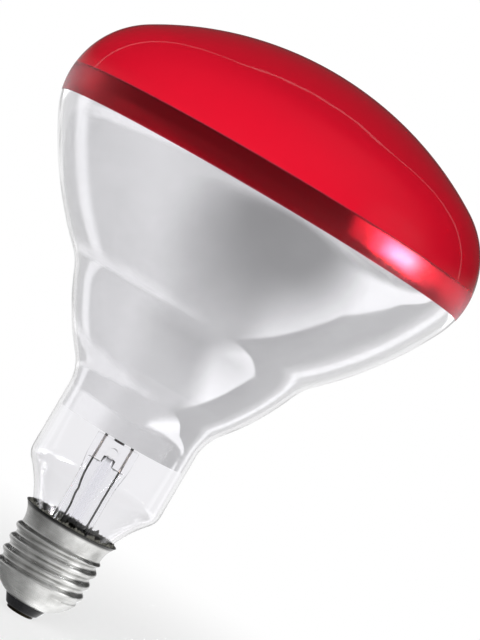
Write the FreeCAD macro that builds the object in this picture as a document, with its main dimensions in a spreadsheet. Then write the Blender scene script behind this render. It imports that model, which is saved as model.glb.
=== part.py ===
"""Infrared heat lamp bulb: a bulged reflector bulb of blown glass on an Edison screw cap.

Millimetres, +Z up along the lamp's axis. The origin is the middle of the centre contact's face,
the lamp stands on its cap, and every height is measured from that face.
"""
import FreeCAD, Part
import Sketcher
import math
import os

V = FreeCAD.Vector
UP = V(0, 0, 1)
WHOLE_TURN = 360
QUARTER_TURN = 90
BACK_AZIMUTH = 90
doc = FreeCAD.newDocument("heat_lamp_bulb")

SIZES = {
    # Outside of the blown bulb, from the seal in the cap to the dome
    "lamp_length": 171.0,
    "bulb_diameter": 126.0,
    "rim_height": 135.0,
    "shoulder_radius": 25.0,
    "shoulder_share": 0.7,  # most of the dome's rise that the shoulder may take
    "brim_radius": 24.0,
    "bowl_radius": 110.0,
    "waist_radius": 15.0,
    "waist_centre_diameter": 97.4,
    "waist_centre_height": 83.3,
    "bulge_radius": 75.0,
    "flare_radius": 13.0,
    "flare_height": 61.2,
    "neck_diameter": 40.4,
    "heel_height": 42.0,
    "heel_radius": 5.0,
    "toe_radius": 34.0,
    "seal_diameter": 20.0,
    "seal_height": 12.5,
    "glass_wall": 1.1,
    # Aluminium film inside the bulb and red lacquer outside it
    "film_thickness": 0.12,
    "film_foot_drop": 5.4,
    "film_top_rise": 2.2,
    "coat_thickness": 0.15,
    "coat_foot_drop": 5.4,
    # Screw cap, with the round thread of an E27 cap
    "lip_height": 28.5,
    "lip_diameter": 28.2,
    "skirt_foot_height": 23.0,
    "thread_diameter": 26.3,
    "thread_root_diameter": 24.2,
    "thread_pitch": 3.629,
    "thread_rounding": 1.025,
    "thread_foot_clearance": 0.475,
    "thread_top_clearance": 0.26,
    "thread_start_azimuth": 180.0,
    "shell_wall": 0.3,
    "shell_foot_height": 8.6,
    "shell_foot_radius": 12.0,
    "shell_hole_diameter": 12.4,
    "shell_hole_height": 3.6,
    "shell_hole_edge": 0.32,
    # Insulator and centre contact in the foot of the cap
    "insulator_face_diameter": 9.4,
    "insulator_dish_diameter": 6.0,
    "insulator_dish_height": 6.0,
    "insulator_rim": 1.2,
    "contact_diameter": 8.0,
    "contact_thickness": 0.8,
    "contact_chamfer": 0.3,
    "eyelet_diameter": 3.2,
    "eyelet_bore": 1.8,
    "eyelet_height": 5.0,
    "solder_height": 1.0,
    "solder_dish": 0.3,
    "solder_edge": 0.1,
    "side_solder_drop": 2.5,
    "side_solder_width": 0.6,
    "side_solder_bulge": 2.2,
    "side_solder_angle": 14.0,
    "side_lead_azimuth": 100.0,
    # Basing cement
    "cement_depth": 11.0,
    "cement_top_drop": 0.5,
    # Stem of glass: flare, press, exhaust tube and support rod
    "stem_wall": 1.0,
    "stem_lead_clearance": 0.3,
    "press_height": 54.0,
    "press_length": 6.0,
    "press_void_drop": 7.0,
    "squeeze_length": 6.0,
    "press_thickness": 4.8,
    "press_side_wall": 1.95,
    "press_void_thickness": 2.4,
    "press_void_side": 1.1,
    "blow_hole_diameter": 2.8,
    "blow_hole_drop": 3.4,
    "exhaust_diameter": 3.6,
    "exhaust_bore": 2.0,
    "exhaust_tip_height": 11.0,
    "exhaust_top_drop": 1.6,
    "rod_diameter": 3.2,
    "button_diameter": 5.6,
    "button_height": 84.0,
    # Wires and filament
    "lead_spacing": 8.2,
    "outer_lead_diameter": 0.6,
    "outer_lead_bend": 2.0,
    "outer_lead_gather_height": 33.0,
    "outer_lead_clearance": 0.8,
    "lip_crossing_clearance": 0.15,
    "seal_wire_diameter": 0.8,
    "inner_lead_diameter": 0.9,
    "inner_lead_bend": 6.0,
    "inner_lead_rise": 8.0,
    "filament_height": 96.0,
    "filament_ring_diameter": 26.0,
    "filament_coil_diameter": 1.4,
    "filament_gap_angle": 50.0,
    "support_wire_diameter": 0.5,
    "support_wire_bend": 2.0,
    "support_wire_depth": 1.4,
    "support_wire_rise": 6.0,
}
SUPPORT_WIRES = 4

sheet = doc.addObject("Spreadsheet::Sheet", "Sizes")
for row, (name, value) in enumerate(SIZES.items(), start=1):
    sheet.set(f"A{row}", name)
    sheet.set(f"B{row}", str(value))
    sheet.setAlias(f"B{row}", name)
doc.recompute()

nodes = []


def size(name):
    """A driving size, read back from the sheet."""
    return float(sheet.get(name))


def value_of(expression):
    """The number that an expression on the sheet comes to."""
    return float(sheet.evalExpression(expression))


def new_body(label):
    """An empty body that becomes one piece of the lamp."""
    body = doc.addObject("PartDesign::Body", label)
    body.Label = label
    return body


def upright_sketch(body, name):
    """A sketch in the body's XZ plane: sketch x is the radius and sketch y the height."""
    sketch = body.newObject("Sketcher::SketchObject", name)
    plane = next(item for item in body.Origin.OriginFeatures if item.Role == "XZ_Plane")
    sketch.AttachmentSupport = [(plane, "")]
    sketch.MapMode = "FlatFace"
    return sketch


def bind(sketch, name, expression, kind, *where):
    """Add a dimension to a sketch and tie it to the sheet."""
    number = sketch.addConstraint(Sketcher.Constraint(kind, *where, value_of(expression)))
    sketch.renameConstraint(number, name)
    sketch.setExpression(f"Constraints.{name}", expression)


def revolve(body, sketch, angle=str(WHOLE_TURN)):
    """Turn a sketch about the lamp's axis, to both sides of its plane where the turn isn't a whole one."""
    turned_solid = body.newObject("PartDesign::Revolution", "turned_solid")
    turned_solid.Profile = sketch
    turned_solid.ReferenceAxis = (sketch, ["V_Axis"])
    turned_solid.Midplane = angle != str(WHOLE_TURN)
    turned_solid.setExpression("Angle", angle)


def arc_between(start, end, radius, turn):
    """The short arc from start to end that turns left (+1) or right (-1), as a sketch arc."""
    chord = end - start
    side = V(-chord.y, chord.x, 0).normalize() * turn
    centre = (start + end) * 0.5 + side * math.sqrt(radius**2 - (chord.Length / 2) ** 2)
    first, last = (start, end) if turn > 0 else (end, start)
    angles = [math.atan2(point.y - centre.y, point.x - centre.x) for point in (first, last)]
    return Part.ArcOfCircle(Part.Circle(centre, UP, radius), *angles)


def draw_outline(sketch, corners):
    """Draw a closed outline whose corners are bound to the sheet.

    A corner is (radius, height), and the edge that leaves it is straight, or it is (radius, height, arc
    radius, turn) where that edge is an arc.
    """
    points = [V(value_of(corner[0]), value_of(corner[1]), 0) for corner in corners]
    starts, ends = [], []
    for number, corner in enumerate(corners):
        here, after = points[number], points[(number + 1) % len(points)]
        turns_right = False
        if len(corner) == 2:
            edge = sketch.addGeometry(Part.LineSegment(here, after), False)
        else:
            turns_right = corner[3] < 0
            edge = sketch.addGeometry(arc_between(here, after, value_of(corner[2]), corner[3]), False)
        starts.append((edge, 2 if turns_right else 1))
        ends.append((edge, 1 if turns_right else 2))
    for number, corner in enumerate(corners):
        sketch.addConstraint(Sketcher.Constraint("Coincident", *ends[number - 1], *starts[number]))
        if points[number].x == 0:
            sketch.addConstraint(Sketcher.Constraint("PointOnObject", *starts[number], -2))
        else:
            bind(sketch, f"radius_{number}", corner[0], "DistanceX", -1, 1, *starts[number])
        if points[number].y == 0:
            sketch.addConstraint(Sketcher.Constraint("PointOnObject", *starts[number], -1))
        else:
            bind(sketch, f"height_{number}", corner[1], "DistanceY", -1, 1, *starts[number])
        if len(corner) == 4:
            bind(sketch, f"arc_{number}", corner[2], "Radius", starts[number][0])


def turned(label, corners, angle=str(WHOLE_TURN)):
    """A body turned about the lamp's axis from one outline."""
    body = new_body(label)
    sketch = upright_sketch(body, f"{label}_outline")
    draw_outline(sketch, corners)
    revolve(body, sketch, angle)
    return body


def keep(piece, label):
    """Name a finished piece and put it among those that are written out."""
    piece.Label = label
    nodes.append(piece)
    return piece


# Curve of the blown bulb, which the film, the lacquer and the cement follow

NECK_RADIUS = "Sizes.neck_diameter / 2"
SEAL_RADIUS = "Sizes.seal_diameter / 2"
BULB_RADIUS = "Sizes.bulb_diameter / 2"
DOME_RISE = "(Sizes.lamp_length - Sizes.rim_height)"
SHOULDER_RADIUS = f"min(Sizes.shoulder_radius; Sizes.shoulder_share * {DOME_RISE})"
SPANS = ["seal", "toe", "heel", "neck", "flare", "bulge", "waist", "bowl", "brim", "shoulder", "dome"]
STRAIGHT = {"seal": SEAL_RADIUS, "neck": NECK_RADIUS}
HOLLOW = {"toe", "flare", "waist"}
LEVEL = V(1, 0, 0)


def arc_radius(span):
    """Radius of one round span of the outside of the bulb, as an expression."""
    return SHOULDER_RADIUS if span == "shoulder" else f"Sizes.{span}_radius"


def circles_meet(centre_a, radius_a, centre_b, radius_b):
    """The meeting point of two circles that lies to the left of the way from a to b."""
    apart = centre_b - centre_a
    along = (radius_a**2 - radius_b**2 + apart.Length**2) / (2 * apart.Length)
    across = math.sqrt(radius_a**2 - along**2)
    ahead = V(apart).normalize()
    return centre_a + ahead * along + V(-ahead.y, ahead.x, 0) * across


def bulb_centres():
    """Centres of the arcs that make up the outside of the bulb, found from their tangencies."""
    toe, heel = size("toe_radius"), size("heel_radius")
    flare, bulge, waist = size("flare_radius"), size("bulge_radius"), size("waist_radius")
    bowl, brim, shoulder = size("bowl_radius"), size("brim_radius"), value_of(SHOULDER_RADIUS)
    neck_radius, bulb_radius = value_of(NECK_RADIUS), value_of(BULB_RADIUS)
    centres = {"heel": V(neck_radius - heel, size("heel_height"), 0)}
    sideways = value_of(SEAL_RADIUS) + toe - centres["heel"].x
    centres["toe"] = centres["heel"] + V(sideways, -math.sqrt((toe + heel) ** 2 - sideways**2), 0)
    centres["flare"] = V(neck_radius + flare, size("flare_height"), 0)
    centres["waist"] = V(size("waist_centre_diameter") / 2, size("waist_centre_height"), 0)
    centres["bulge"] = circles_meet(centres["flare"], flare + bulge, centres["waist"], waist + bulge)
    centres["brim"] = V(bulb_radius - brim, size("rim_height"), 0)
    centres["bowl"] = circles_meet(centres["waist"], waist + bowl, centres["brim"], bowl - brim)
    centres["shoulder"] = V(bulb_radius - shoulder, size("rim_height"), 0)
    rise = value_of(DOME_RISE)
    dome = (centres["shoulder"].x ** 2 + rise**2 - shoulder**2) / (2 * (rise - shoulder))
    centres["dome"] = V(0, size("lamp_length") - dome, 0)
    return centres


centres = bulb_centres()


def outer_joint(round_span, other_span):
    """Where a round span touches a hollow one, as (point, outward normal)."""
    normal = V(centres[other_span] - centres[round_span]).normalize()
    return centres[round_span] + normal * value_of(arc_radius(round_span)), normal


def nested_joint(small_span, large_span):
    """Where a small round span runs into a large one, as (point, outward normal)."""
    normal = V(centres[small_span] - centres[large_span]).normalize()
    return centres[small_span] + normal * value_of(arc_radius(small_span)), normal


# Where each span of the outside begins, and the apex where the last one ends
joints = {
    "seal": (V(value_of(SEAL_RADIUS), size("seal_height"), 0), LEVEL),
    "toe": (V(value_of(SEAL_RADIUS), centres["toe"].y, 0), LEVEL),
    "heel": outer_joint("heel", "toe"),
    "neck": (V(value_of(NECK_RADIUS), size("heel_height"), 0), LEVEL),
    "flare": (V(value_of(NECK_RADIUS), size("flare_height"), 0), LEVEL),
    "bulge": outer_joint("bulge", "flare"),
    "waist": outer_joint("bulge", "waist"),
    "bowl": outer_joint("bowl", "waist"),
    "brim": nested_joint("brim", "bowl"),
    "shoulder": (V(value_of(BULB_RADIUS), size("rim_height"), 0), LEVEL),
    "dome": nested_joint("shoulder", "dome"),
    "apex": (V(0, size("lamp_length"), 0), V(0, 1, 0)),
}


def on_wall(span, inset, height):
    """The point of one span at a height, on the face that lies inset from the outside of the bulb."""
    if span in STRAIGHT:
        return V(value_of(STRAIGHT[span]) - inset, height, 0)
    reach = value_of(arc_radius(span)) - inset
    return V(centres[span].x + math.sqrt(reach**2 - (height - centres[span].y) ** 2), height, 0)


def draw_face(sketch, face, spans, depth, foot, top=None):
    """Draw one face of the bulb's wall, tangent from span to span, at a depth inside the outside of the bulb.

    foot and top are the heights where the face is cut off level; with no top it runs on to the apex.
    Gives the two open ends of the face.
    """
    inset = value_of(depth)
    starts = [joints[span][0] - joints[span][1] * inset for span in spans]
    starts[0] = on_wall(spans[0], inset, value_of(foot))
    ends = starts[1:]
    ends.append(on_wall(spans[-1], inset, value_of(top)) if top else joints["apex"][0] - V(0, inset, 0))
    below = None
    for span, start, end in zip(spans, starts, ends):
        low, high = (2, 1) if span in HOLLOW else (1, 2)
        if span in STRAIGHT:
            edge = sketch.addGeometry(Part.LineSegment(start, end), False)
            sketch.addConstraint(Sketcher.Constraint("Vertical", edge))
            radius = f"{STRAIGHT[span]} - ({depth})"
            bind(sketch, f"{face}_{span}_radius", radius, "DistanceX", -1, 1, edge, low)
        else:
            first, last = (end, start) if span in HOLLOW else (start, end)
            angles = [math.atan2(*reversed((point - centres[span])[:2])) for point in (first, last)]
            circle = Part.Circle(centres[span], UP, (start - centres[span]).Length)
            edge = sketch.addGeometry(Part.ArcOfCircle(circle, *angles), False)
        if span not in STRAIGHT and span != "dome":
            sign = "+" if span in HOLLOW else "-"
            bind(sketch, f"{face}_{span}", f"{arc_radius(span)} {sign} ({depth})", "Radius", edge)
        if span in ("heel", "flare"):
            bind(sketch, f"{face}_{span}_height", f"Sizes.{span}_height", "DistanceY", -1, 1, edge, 3)
        if span == "waist":
            bind(sketch, f"{face}_waist_x", "Sizes.waist_centre_diameter / 2", "DistanceX", -1, 1, edge, 3)
            bind(sketch, f"{face}_waist_y", "Sizes.waist_centre_height", "DistanceY", -1, 1, edge, 3)
        if span == "brim":
            bind(sketch, f"{face}_brim_x", f"{BULB_RADIUS} - Sizes.brim_radius", "DistanceX", -1, 1, edge, 3)
            bind(sketch, f"{face}_brim_y", "Sizes.rim_height", "DistanceY", -1, 1, edge, 3)
        if span == "shoulder":
            sketch.addConstraint(Sketcher.Constraint("Horizontal", *below, below[0], 3))
        if below:
            sketch.addConstraint(Sketcher.Constraint("Tangent", *below, edge, low))
        else:
            foot_end = (edge, low)
        below = (edge, high)
    bind(sketch, f"{face}_foot", foot, "DistanceY", -1, 1, *foot_end)
    if top:
        bind(sketch, f"{face}_top", top, "DistanceY", -1, 1, *below)
    else:
        sketch.addConstraint(Sketcher.Constraint("PointOnObject", edge, 3, -2))
        sketch.addConstraint(Sketcher.Constraint("PointOnObject", *below, -2))
        bind(sketch, f"{face}_apex", f"Sizes.lamp_length - ({depth})", "DistanceY", -1, 1, *below)
    return foot_end, below


def blown_layer(label, spans, outside, inside, foot, top=None):
    """A layer of the bulb, turned from its outer and inner face."""
    body = new_body(label)
    sketch = upright_sketch(body, f"{label}_wall")
    outer_foot, outer_top = draw_face(sketch, "outer", spans, outside, foot, top)
    inner_foot, inner_top = draw_face(sketch, "inner", spans, inside, foot, top)
    for outer_end, inner_end in ((outer_foot, inner_foot), (outer_top, inner_top)):
        line = Part.LineSegment(sketch.getPoint(*outer_end), sketch.getPoint(*inner_end))
        edge = sketch.addGeometry(line, False)
        sketch.addConstraint(Sketcher.Constraint("Coincident", edge, 1, *outer_end))
        sketch.addConstraint(Sketcher.Constraint("Coincident", edge, 2, *inner_end))
    revolve(body, sketch)
    return keep(body, label)


WALL = "Sizes.glass_wall"
blown_layer("glass_envelope", SPANS, "0", WALL, "Sizes.seal_height")
blown_layer(
    "reflector_film",
    SPANS[SPANS.index("neck") : SPANS.index("dome")],
    WALL,
    f"{WALL} + Sizes.film_thickness",
    "Sizes.flare_height - Sizes.film_foot_drop",
    "Sizes.rim_height + Sizes.film_top_rise",
)
blown_layer(
    "red_coat",
    SPANS[SPANS.index("brim") :],
    "-Sizes.coat_thickness",
    "0",
    "Sizes.rim_height - Sizes.coat_foot_drop",
)


# Screw cap: a rolled shell whose skirt flares to a lip and whose foot closes in on the insulator

ROOT = "(Sizes.thread_root_diameter / 2)"
BORE = f"({ROOT} - Sizes.shell_wall)"
LIP = "(Sizes.lip_diameter / 2)"
LIP_RISE = "(Sizes.lip_height - Sizes.skirt_foot_height)"
SKIRT_ARC = f"((({LIP} - {ROOT})^2 + {LIP_RISE}^2) / (2 * ({LIP} - {ROOT})))"
INNER_SKIRT_ARC = f"({SKIRT_ARC} + Sizes.shell_wall)"
THREAD_START = "(Sizes.shell_foot_height + Sizes.thread_rounding + Sizes.thread_foot_clearance)"
THREAD_END = "(Sizes.skirt_foot_height - Sizes.thread_rounding - Sizes.thread_top_clearance)"
HOLE = "(Sizes.shell_hole_diameter / 2)"
HOLE_EDGE = "(Sizes.shell_hole_height + Sizes.shell_hole_edge)"
INNER_FOOT_ARC = "(Sizes.shell_foot_radius - Sizes.shell_wall)"


def skirt_radius(height, arc=SKIRT_ARC):
    """Radius of the flared skirt at a height, on its outer face or on a face beside it."""
    return f"({ROOT} + {SKIRT_ARC} - sqrt({arc}^2 - ({height} - Sizes.skirt_foot_height)^2))"


screw_shell = turned(
    "screw_shell",
    [
        (HOLE, "Sizes.shell_hole_height", "Sizes.shell_foot_radius", 1),
        (ROOT, "Sizes.shell_foot_height"),
        (ROOT, "Sizes.skirt_foot_height", SKIRT_ARC, -1),
        (LIP, "Sizes.lip_height"),
        (skirt_radius("Sizes.lip_height", INNER_SKIRT_ARC), "Sizes.lip_height", INNER_SKIRT_ARC, 1),
        (BORE, "Sizes.skirt_foot_height"),
        (BORE, "Sizes.shell_foot_height", INNER_FOOT_ARC, -1),
        (HOLE, HOLE_EDGE),
    ],
)


def roll_thread(feature, name, rounding, reach):
    """Wind a round bead on the shell, or the hollow behind that bead, from the wall at radius reach."""
    sketch = upright_sketch(screw_shell, f"{name}_section")
    bead_centre = "(Sizes.thread_diameter / 2 - Sizes.thread_rounding)"
    corners = [
        (reach, f"({THREAD_START} - {rounding})"),
        (bead_centre, f"({THREAD_START} - {rounding})", rounding, 1),
        (f"({bead_centre} + {rounding})", THREAD_START, rounding, 1),
        (bead_centre, f"({THREAD_START} + {rounding})"),
        (reach, f"({THREAD_START} + {rounding})"),
    ]
    draw_outline(sketch, corners)
    doc.recompute()
    helix = screw_shell.newObject(feature, name)
    helix.Profile = sketch
    helix.ReferenceAxis = (sketch, ["V_Axis"])
    helix.Mode = "pitch-height-angle"
    helix.setExpression("Pitch", "Sizes.thread_pitch")
    helix.setExpression("Height", f"{THREAD_END} - {THREAD_START}")
    doc.recompute()


MID_WALL = f"({ROOT} - Sizes.shell_wall / 2)"
roll_thread("PartDesign::AdditiveHelix", "thread", "Sizes.thread_rounding", MID_WALL)
plain_volume = screw_shell.Shape.Volume
roll_thread(
    "PartDesign::SubtractiveHelix",
    "thread_hollow",
    "(Sizes.thread_rounding - Sizes.shell_wall)",
    f"({BORE} - Sizes.shell_wall)",
)
assert screw_shell.Shape.Volume < plain_volume, "the hollow of the thread cuts nothing"
keep(screw_shell, "screw_shell").setExpression("Placement.Rotation.Angle", "Sizes.thread_start_azimuth")

# Black glass insulator, moulded into the foot of the shell around the eyelet of the contact

CONTACT = "(Sizes.contact_diameter / 2)"
EYELET = "(Sizes.eyelet_diameter / 2)"
EYELET_BORE = "(Sizes.eyelet_bore / 2)"
keep(
    turned(
        "insulator",
        [
            (EYELET, "Sizes.contact_thickness"),
            ("Sizes.insulator_face_diameter / 2", "Sizes.contact_thickness"),
            (HOLE, "Sizes.shell_hole_height"),
            (HOLE, HOLE_EDGE, INNER_FOOT_ARC, 1),
            (BORE, "Sizes.shell_foot_height"),
            (f"{BORE} - Sizes.insulator_rim", "Sizes.shell_foot_height"),
            ("Sizes.insulator_dish_diameter / 2", "Sizes.insulator_dish_height"),
            (EYELET, "Sizes.insulator_dish_height"),
        ],
    ),
    "insulator",
)
keep(
    turned(
        "centre_contact",
        [
            (EYELET_BORE, "0"),
            (f"{CONTACT} - Sizes.contact_chamfer", "0"),
            (CONTACT, "Sizes.contact_chamfer"),
            (CONTACT, "Sizes.contact_thickness"),
            (EYELET, "Sizes.contact_thickness"),
            (EYELET, "Sizes.eyelet_height"),
            (EYELET_BORE, "Sizes.eyelet_height"),
        ],
    ),
    "centre_contact",
)
keep(
    turned(
        "centre_solder",
        [
            ("0", "Sizes.solder_dish"),
            (EYELET_BORE, "Sizes.solder_edge"),
            (EYELET_BORE, "Sizes.solder_height"),
            ("0", "Sizes.solder_height"),
        ],
    ),
    "centre_solder",
)
SOLDER_FOOT = "(Sizes.lip_height - Sizes.side_solder_drop)"
side_solder = turned(
    "side_solder",
    [
        (skirt_radius(SOLDER_FOOT), SOLDER_FOOT, "Sizes.side_solder_bulge", 1),
        (f"{LIP} + Sizes.side_solder_width", "Sizes.lip_height"),
        (LIP, "Sizes.lip_height", SKIRT_ARC, 1),
    ],
    "Sizes.side_solder_angle",
)
keep(side_solder, "side_solder").setExpression("Placement.Rotation.Angle", "Sizes.side_lead_azimuth")

# Glass stem: a flare sealed into the neck, drawn up into a tube and squeezed flat into a press

LEAD_OFFSET = "Sizes.lead_spacing / 2"
TUBE_BORE = f"({LEAD_OFFSET} + Sizes.outer_lead_diameter / 2 + Sizes.stem_lead_clearance)"
TUBE = f"({TUBE_BORE} + Sizes.stem_wall)"
FLARE_RIM = f"({SEAL_RADIUS} - {WALL})"
FLARE_ARC = f"({FLARE_RIM} - {TUBE})"
FLARE_EDGE = "(Sizes.seal_height + Sizes.stem_wall)"
PRESS_FOOT = "(Sizes.press_height - Sizes.press_length)"
PRESS_VOID = "(Sizes.press_height - Sizes.press_void_drop)"
TUBE_TOP = f"({PRESS_FOOT} - Sizes.squeeze_length)"
BLOW_HOLE = "(Sizes.press_height - Sizes.blow_hole_drop)"
EXHAUST_TOP = f"({BLOW_HOLE} - Sizes.exhaust_top_drop)"
PRESS_HALF = f"({LEAD_OFFSET} + Sizes.seal_wire_diameter / 2 + Sizes.press_side_wall)"
flare_tube = turned(
    "flare_tube",
    [
        (FLARE_RIM, "Sizes.seal_height"),
        (FLARE_RIM, FLARE_EDGE, FLARE_ARC, -1),
        (TUBE, f"{FLARE_EDGE} + {FLARE_ARC}"),
        (TUBE, TUBE_TOP),
        (TUBE_BORE, TUBE_TOP),
        (TUBE_BORE, f"{FLARE_EDGE} + {FLARE_ARC}", f"({FLARE_ARC} + Sizes.stem_wall)", 1),
    ],
)


def level_ring(kind, height, **radii):
    """A level circle or ellipse on the lamp's axis, for a loft."""
    ring = doc.addObject(f"Part::{kind}", "ring")
    for name, expression in radii.items():
        ring.setExpression(name, expression)
    ring.setExpression("Placement.Base.z", height)
    return ring


def squeezed(label, lower, upper):
    """A solid that runs from one level ring to another."""
    loft = doc.addObject("Part::Loft", label)
    loft.Sections = [lower, upper]
    loft.Solid = True
    return loft


def rod(label, diameter, foot, top, sideways="0"):
    """An upright round bar."""
    bar = doc.addObject("Part::Cylinder", label)
    bar.setExpression("Radius", f"({diameter}) / 2")
    bar.setExpression("Height", f"({top}) - ({foot})")
    bar.setExpression("Placement.Base.x", sideways)
    bar.setExpression("Placement.Base.z", foot)
    return bar


def joined(label, pieces):
    """Several solids made one."""
    fuse = doc.addObject("Part::MultiFuse", label)
    fuse.Shapes = pieces
    fuse.Refine = True
    return fuse


def cut(label, base, tool):
    """One solid with another taken out of it."""
    piece = doc.addObject("Part::Cut", label)
    piece.Base = base
    piece.Tool = tool
    return keep(piece, label)


PRESS_FLAT = {"MajorRadius": PRESS_HALF, "MinorRadius": "Sizes.press_thickness / 2"}
VOID_FLAT = {
    "MajorRadius": f"{PRESS_HALF} - Sizes.press_void_side",
    "MinorRadius": "Sizes.press_void_thickness / 2",
}
squeeze = squeezed(
    "squeeze",
    level_ring("Circle", TUBE_TOP, Radius=TUBE),
    level_ring("Ellipse", PRESS_FOOT, **PRESS_FLAT),
)
press = squeezed(
    "press",
    level_ring("Ellipse", PRESS_FOOT, **PRESS_FLAT),
    level_ring("Ellipse", "Sizes.press_height", **PRESS_FLAT),
)
squeeze_void = squeezed(
    "squeeze_void",
    level_ring("Circle", TUBE_TOP, Radius=TUBE_BORE),
    level_ring("Ellipse", PRESS_VOID, **VOID_FLAT),
)
SEAL_WIRE = ("Sizes.seal_wire_diameter", PRESS_VOID, "Sizes.press_height")
blow_hole = doc.addObject("Part::Cylinder", "blow_hole")
blow_hole.Placement = FreeCAD.Placement(V(), FreeCAD.Rotation(V(1, 0, 0), -QUARTER_TURN))
blow_hole.setExpression("Radius", "Sizes.blow_hole_diameter / 2")
blow_hole.setExpression("Height", "2 * Sizes.press_thickness")
blow_hole.setExpression("Placement.Base.y", "-Sizes.press_thickness")
blow_hole.setExpression("Placement.Base.z", BLOW_HOLE)
stem_openings = [
    squeeze_void,
    rod("left_seal_bore", *SEAL_WIRE, f"-{LEAD_OFFSET}"),
    rod("right_seal_bore", *SEAL_WIRE, LEAD_OFFSET),
    rod("exhaust_socket", "Sizes.exhaust_diameter", TUBE_TOP, EXHAUST_TOP),
    rod("exhaust_passage", "Sizes.exhaust_bore", EXHAUST_TOP, BLOW_HOLE),
    blow_hole,
]
stem_glass = joined("stem_glass", [flare_tube, squeeze, press])
cut("stem_flare", stem_glass, joined("stem_openings", stem_openings))

# Exhaust tube, tipped off round at its foot, and the seal wires in the press

EXHAUST = "(Sizes.exhaust_diameter / 2)"
EXHAUST_BORE = "(Sizes.exhaust_bore / 2)"
TIP_CENTRE = f"(Sizes.exhaust_tip_height + {EXHAUST})"
keep(
    turned(
        "exhaust_tube",
        [
            ("0", "Sizes.exhaust_tip_height", EXHAUST, 1),
            (EXHAUST, TIP_CENTRE),
            (EXHAUST, EXHAUST_TOP),
            (EXHAUST_BORE, EXHAUST_TOP),
            (EXHAUST_BORE, TIP_CENTRE, EXHAUST_BORE, -1),
            ("0", f"({TIP_CENTRE} - {EXHAUST_BORE})"),
        ],
    ),
    "exhaust_tube",
)
keep(rod("seal_wire_left", *SEAL_WIRE, f"-{LEAD_OFFSET}"), "seal_wire_left")
keep(rod("seal_wire_right", *SEAL_WIRE, LEAD_OFFSET), "seal_wire_right")

# Bent wires: straight runs joined by round bends

BEND_SHARE = 0.45


def bent_wire(label, points, bend, diameter):
    """A round wire through the given points, each corner bent to a radius or to what its runs allow."""
    edges, here = [], points[0]
    for before, corner, after in zip(points, points[1:], points[2:]):
        back, ahead = before - corner, after - corner
        half_turn = (math.pi - back.getAngle(ahead)) / 2
        shorter = min(back.Length, ahead.Length)
        reach = min(bend * math.tan(half_turn), BEND_SHARE * shorter)
        back.normalize()
        ahead.normalize()
        radius = reach / math.tan(half_turn)
        inward = (back + ahead).normalize()
        middle = corner + inward * (radius / math.cos(half_turn) - radius)
        start, end = corner + back * reach, corner + ahead * reach
        edges.append(Part.LineSegment(here, start).toShape())
        edges.append(Part.Arc(start, middle, end).toShape())
        here = end
    edges.append(Part.LineSegment(here, points[-1]).toShape())
    ring = Part.Circle(points[0], points[1] - points[0], diameter / 2)
    section = Part.Face(Part.Wire(ring.toShape()))
    wire = doc.addObject("Part::Feature", label)
    wire.Shape = Part.Wire(edges).makePipe(section)
    wire.Placement = FreeCAD.Placement()
    return keep(wire, label)


def round_axis(radius, azimuth, height):
    """A point at a radius, an azimuth in degrees and a height."""
    turn = math.radians(azimuth)
    return V(radius * math.cos(turn), radius * math.sin(turn), height)


lead_offset = value_of(LEAD_OFFSET)
outer_lead = size("outer_lead_diameter")
gather = value_of(f"{EXHAUST} + Sizes.outer_lead_clearance + Sizes.outer_lead_diameter / 2")
centre_lead_route = [
    V(-lead_offset, 0, value_of(PRESS_VOID)),
    V(-lead_offset, 0, value_of(TUBE_TOP)),
    V(-gather, 0, size("outer_lead_gather_height")),
    V(-gather, 0, value_of(TIP_CENTRE)),
    V(0, 0, (size("insulator_dish_height") + size("exhaust_tip_height")) / 2),
    V(0, 0, size("solder_height")),
]
bent_wire("outer_lead_centre", centre_lead_route, size("outer_lead_bend"), outer_lead)

# The side lead leaves under the flare, climbs between glass and shell and crosses the lip to its solder

TOE_SIDEWAYS = f"({SEAL_RADIUS} + Sizes.toe_radius - {NECK_RADIUS} + Sizes.heel_radius)"
TOE_HEIGHT = f"(Sizes.heel_height - sqrt((Sizes.toe_radius + Sizes.heel_radius)^2 - {TOE_SIDEWAYS}^2))"
CLIMB_SHARES = (0.0, 0.25, 0.5, 0.75)


def toe_radius_at(height):
    """Radius of the outside of the glass at a height in the cap."""
    return f"({SEAL_RADIUS} + Sizes.toe_radius - sqrt(Sizes.toe_radius^2 - ({height} - {TOE_HEIGHT})^2))"


def between_glass_and_shell(height):
    """A point midway between the glass and the shell at a height, on the side of the side lead."""
    middle = f"({toe_radius_at(height)} + {skirt_radius(height, INNER_SKIRT_ARC)}) / 2"
    return round_axis(value_of(middle), size("side_lead_azimuth"), value_of(height))


under_flare = size("seal_height") - size("outer_lead_clearance") - outer_lead / 2
over_lip = size("lip_height") + size("lip_crossing_clearance") + outer_lead / 2
climb_heights = [f"(Sizes.skirt_foot_height + {share} * {LIP_RISE})" for share in CLIMB_SHARES]
climb = [between_glass_and_shell(height) for height in climb_heights]
at_lip = between_glass_and_shell("Sizes.lip_height")
side_lead_route = [
    V(lead_offset, 0, value_of(PRESS_VOID)),
    V(lead_offset, 0, under_flare),
    round_axis(value_of(f"({SEAL_RADIUS} + {BORE}) / 2"), size("side_lead_azimuth"), under_flare),
    *climb,
    V(at_lip.x, at_lip.y, over_lip),
    round_axis(value_of(f"{LIP} + Sizes.side_solder_width"), size("side_lead_azimuth"), over_lip),
]
side_lead = bent_wire("outer_lead_side", side_lead_route, size("outer_lead_bend"), outer_lead)

# Basing cement between shell and glass, with the channel of the side lead

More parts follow.
